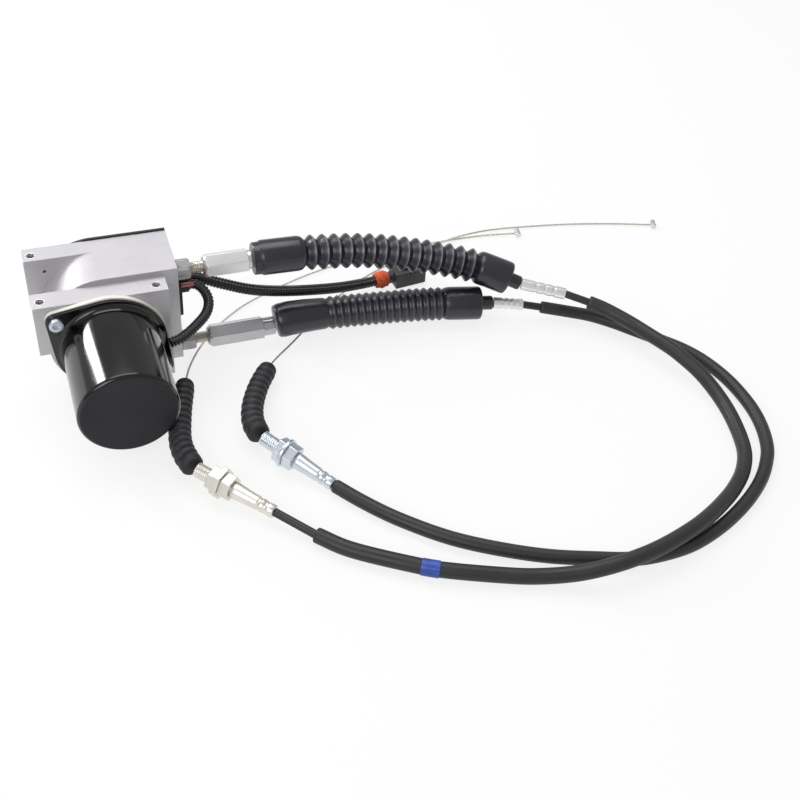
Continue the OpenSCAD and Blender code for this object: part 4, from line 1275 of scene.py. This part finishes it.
@dataclass
class MarkerBand:
    """Blue tape round a cable."""

    start: Point = (153.8, -242.4, 5.6)
    end: Point = (144.0, -237.2, 5.6)
    stands_proud: float = 0.4

    def build(self, cable: ThrottleCable) -> None:
        """Make and dress the band.

        Args:
            cable: Cable that it is wrapped round.
        """
        line = smooth_line(vectors(cable.route), step=0.5)
        run = line[self._nearest(line, self.start) : self._nearest(line, self.end) + 1]
        rings = even_rings(run, cable.diameter / 2 + self.stands_proud, round_ends=0.15)
        dress(sweep("blue_marker_band", run, rings, sides=40), BLUE_TAPE, "blue_tape", "marker_band")

    def _nearest(self, line: Path, place: Point) -> int:
        """Return the number of the line's point that is nearest to a place."""
        return min(range(len(line)), key=lambda i: (line[i] - Vector(place)).length)


@dataclass(frozen=True)
class Loom:
    """Corrugated split loom."""

    name: str
    node: str
    diameter: float
    route: Row
    far_end: FarEnd
    pitch: float = 2.3
    depth: float = 0.55
    rings_a_pitch: int = 6
    wall_slope: float = 1.8
    slit_at: float = 1.1
    lip_angle: float = 0.1
    lip_rise: float = 0.1
    lip_wear: float = 0.85
    groove_angle: float = 0.3
    groove_depth: float = 0.715

    def build(self, end_pieces: Sequence[Piece]) -> None:
        """Args:
            end_pieces: Pieces on its far end.
        """
        line = smooth_line(vectors(self.route), self.pitch / self.rings_a_pitch)
        rings = plain_rings(len(line) - 1, self.diameter / 2)
        loom = sweep(self.name, line, rings, sides=36, swell=self._corrugation)
        dress(loom, LOOM_POLYETHYLENE, "loom_plastic", self.node)
        declare_cord(loom, line, self.diameter, self.far_end, Stiffness.MEDIUM, end_pieces)

    def _corrugation(self, along: float, angle: float) -> Pair:
        """Shape the loom's wall.

        Args:
            along: Distance from the start.
            angle: Angle round the loom.

        Returns:
            Change of radius and wear.
        """
        wave = math.cos(FULL_TURN * along / self.pitch)
        ridge = 0.5 + 0.5 * max(-1.0, min(1.0, self.wall_slope * wave))
        off_slit = abs((angle - self.slit_at + math.pi) % FULL_TURN - math.pi)
        if off_slit < self.lip_angle:
            return (-self.depth * (1 - ridge) + self.lip_rise, self.lip_wear * ridge)
        if off_slit < self.groove_angle:
            return (-self.groove_depth, 0.0)
        return (-self.depth * (1 - ridge), 0.0)


@dataclass
class Wiring:
    """Loom plate, the two looms, the tape and the connector."""

    motor_loom: Loom = Loom(
        "motor_split_loom",
        "motor_loom",
        diameter=7.0,
        route=(
            (56.2, -3.0, 54.0), (60.5, -3.3, 53.8), (65.0, -8.0, 51.5), (66.5, -16.0, 48.0),
            (62.5, -25.0, 45.0), (53.0, -33.5, 42.5), (43.0, -40.5, 41.0), (35.0, -43.0, 40.5),
        ),
        far_end=FarEnd.OBJECT,
    )
    harness: Loom = Loom(
        "harness_split_loom",
        "harness_loom",
        diameter=8.0,
        route=(
            (56.2, 7.0, 52.0), (63.0, 6.9, 51.5), (80.0, 4.0, 45.0), (99.0, 3.0, 37.0), (120.0, 6.0, 29.0),
            (145.0, 11.0, 21.0), (170.0, 18.0, 13.0), (190.0, 24.0, 8.0), (204.0, 26.0, 7.2),
        ),
        far_end=FarEnd.CONNECTOR,
    )
    lead_d: float = 1.5
    lead_routes: tuple[Row, ...] = (
        ((50.2, -6.3, 58.2), (53.0, -6.4, 58.3), (56.0, -6.0, 57.9), (58.8, -4.6, 56.2)),
        ((50.2, -7.4, 57.0), (53.0, -7.5, 57.0), (56.0, -7.1, 56.6), (58.8, -5.4, 55.2)),
    )
    tape_run: Row = ((201.2, 25.7, 7.3), (211.2, 26.8, 7.5))
    tape_r: float = 5.0
    tape_bulge: float = 1.3
    tape_layer: float = 0.25
    tape_pitch: float = 2.2
    # Height of a ripple, how many go round, and how far it drifts round in a millimetre.
    tape_ripples: Row = ((0.32, 5.0, 1.3), (0.2, 11.0, -2.1))

    def build(self) -> None:
        dressed_copy("loom_outlet_plate", "loom_plate", MOULDED_NYLON, "loom_plastic", ease_mm=0.2)
        dress(self._leads(), LEAD_VINYL, "loom_plastic")
        tape = dress(self._tape(), ORANGE_TAPE, "orange_tie", "harness_tie")
        on_harness = [tape]
        for name, node in (("lead_connector", "connector"), ("connector_latch_bar", "connector_latch")):
            on_harness.append(dressed_copy(name, node, CONNECTOR_NYLON, "connector_plastic", ease_mm=0.4))
        self.motor_loom.build([])
        self.harness.build(on_harness)

    def _leads(self) -> Piece:
        """Lay the motor's two leads from the plate into the mouth of the loom.

        Returns:
            The leads, not yet dressed.
        """
        runs = []
        for i, route in enumerate(self.lead_routes):
            line = smooth_line(vectors(route), step=0.5)
            rings = even_rings(line, self.lead_d / 2, round_ends=0.2)
            runs.append(sweep(f"lead_{i + 1}", line, rings, sides=14))
        return joined("motor_lead_pair", runs)

    def _tape(self) -> Piece:
        """Wrap the tape between loom and connector.

        Returns:
            The tape, not yet dressed.
        """
        line = divide(vectors(self.tape_run), step=0.5)
        last = len(line) - 1
        rings = [
            Ring(i / last, self.tape_r + self.tape_bulge * math.sin(math.pi * i / last))
            for i in range(last + 1)
        ]
        return sweep("orange_tape_wrap", line, rings, sides=40, swell=self._wrap)

    def _wrap(self, along: float, angle: float) -> Pair:
        """Shape the uneven lie of the tape.

        Args:
            along: Distance from the start.
            angle: Angle round the tape.

        Returns:
            Change of radius, and no wear.
        """
        reach = self.tape_layer * ((along / self.tape_pitch + angle / FULL_TURN) % 1.0)
        for height, count, drift in self.tape_ripples:
            reach += height * math.sin(count * angle + drift * along)
        return (reach, 0.0)


@dataclass(frozen=True)
class Lamp:
    """Soft rectangular lamp, in metres and watts."""

    name: str
    place: Point
    size: Pair
    watts: float

    def hang(self, aim: Point) -> None:
        """Hang the lamp.

        Args:
            aim: Point that it faces.
        """
        data = bpy.data.lights.new(self.name, "AREA")
        data.shape = "RECTANGLE"
        data.size, data.size_y = self.size
        data.energy = self.watts
        place = Vector(self.place)
        turn = (Vector(aim) - place).to_track_quat("-Z", "Y").to_matrix()
        placed(self.name, data).matrix_world = Matrix.Translation(place) @ turn.to_4x4()


@dataclass
class Studio:
    """Camera, floor and soft lights, in metres."""

    eye: Point = (-0.0522, -0.6397, 0.5715)
    right: Point = (0.9427, -0.3258, 0.0726)
    up: Point = (0.1781, 0.6746, 0.7164)
    lens_mm: float = 53.94
    sensor_mm: float = 36.0
    clip: Pair = (0.01, 100.0)
    floor_size: float = 60.0
    floor_z: float = -0.0004
    floor_glow: float = 0.8
    room_strength: float = 0.5
    aim: Point = (0.08, -0.08, 0.04)
    lamps: tuple[Lamp, ...] = (
        Lamp("overhead_softbox", (0.05, 0.5, 1.25), (1.2, 0.9), watts=9.0),
        Lamp("front_softbox", (-0.8, -0.9, 0.9), (0.8, 0.8), watts=7.0),
        Lamp("strip_softbox", (-0.7, 0.9, 0.57), (0.16, 0.55), watts=6.5),
    )

    def place_camera(self) -> None:
        """Stand the camera at the photograph's viewpoint."""
        data = bpy.data.cameras.new("view")
        data.sensor_width = self.sensor_mm
        data.sensor_fit = "HORIZONTAL"
        data.lens = self.lens_mm
        data.clip_start, data.clip_end = self.clip
        camera = placed("view", data)
        right = Vector(self.right).normalized()
        back = right.cross(Vector(self.up)).normalized()
        top = back.cross(right)
        turn = Matrix((right, top, back)).transposed()
        camera.matrix_world = Matrix.Translation(Vector(self.eye)) @ turn.to_4x4()
        bpy.context.scene.camera = camera

    def light(self) -> None:
        """Lay the floor, light the room and hang the lamps."""
        self._floor()
        self._world()
        for lamp in self.lamps:
            lamp.hang(self.aim)

    def _floor(self) -> None:
        """Lay a plain white floor that keeps the shadow.

        It glows only for rays that see, mirror or pass on its picture, so it looks white and adds no light.
        """
        half = self.floor_size / 2
        corners = ((-half, -half), (half, -half), (half, half), (-half, half))
        mesh = bpy.data.meshes.new("floor")
        mesh.from_pydata([(x, y, self.floor_z) for x, y in corners], [], [(0, 1, 2, 3)])
        floor = placed("floor", mesh)
        material = bpy.data.materials.new("matt_white_paper")
        add = node_adder(material)
        paper = add("ShaderNodeBsdfDiffuse", {"Color": linear("#f4f4f4")})
        rays = add("ShaderNodeLightPath").outputs
        seen = rays["Is Camera Ray"]
        for kind in ("Is Glossy Ray", "Is Transmission Ray"):
            either = add("ShaderNodeMath", {"operation": "MAXIMUM"}, {0: seen, 1: rays[kind]})
            seen = either.outputs["Value"]
        glow = add("ShaderNodeEmission", {"Color": linear("#ffffff")}, {"Strength": seen})
        shown = add("ShaderNodeMixShader", {0: self.floor_glow}, {1: paper.outputs[0], 2: glow.outputs[0]})
        add("ShaderNodeOutputMaterial", links={"Surface": shown.outputs[0]})
        mesh.materials.append(material)
        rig.stage(floor)

    def _world(self) -> None:
        """Give the room its even light."""
        world = bpy.data.worlds.new("pale_room")
        bpy.context.scene.world = world
        add = node_adder(world)
        room = add("ShaderNodeBackground", {"Color": linear("#ffffff"), "Strength": self.room_strength})
        add("ShaderNodeOutputWorld", links={"Surface": room.outputs[0]})


def dress_inner_nodes() -> None:
    """Give the CAD pieces inside the housing their finishes."""
    for finish, nodes in NODE_FINISHES.items():
        for name in nodes:
            data = frame["nodes"][name].data
            data.materials.clear()
            data.materials.append(finish.material())
            LOG.info("%s: %s", name, finish.name)


def write_sizes(before: tuple[Vector, Vector]) -> None:
    """Write the box of the CAD model and of the dressed one.

    Args:
        before: Lowest and highest corner of the CAD model.
    """
    boxes = {"cad": [list(corner) for corner in before], "visual": [list(corner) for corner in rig.bounds()]}
    with open("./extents.json", "w", encoding="utf-8") as sheet:
        json.dump(boxes, sheet, indent=1)


def main() -> None:
    """Build the scene in order."""
    logging.basicConfig(level=logging.INFO, format="%(name)s: %(message)s")
    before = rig.bounds()
    bpy.context.scene.view_settings.view_transform = "Standard"
    studio = Studio()
    studio.place_camera()
    UPPER_CABLE.build()
    LOWER_CABLE.build()
    Wiring().build()
    MarkerBand().build(UPPER_CABLE)
    for sleeve in (UPPER_BELLOWS, LOWER_BELLOWS, UPPER_BOOT, LOWER_BOOT):
        sleeve.build()
    Housing().build()
    Motor().build()
    CableOutlets().build()
    dress_inner_nodes()
    studio.light()
    write_sizes(before)


if __name__ == "__main__":
    main()
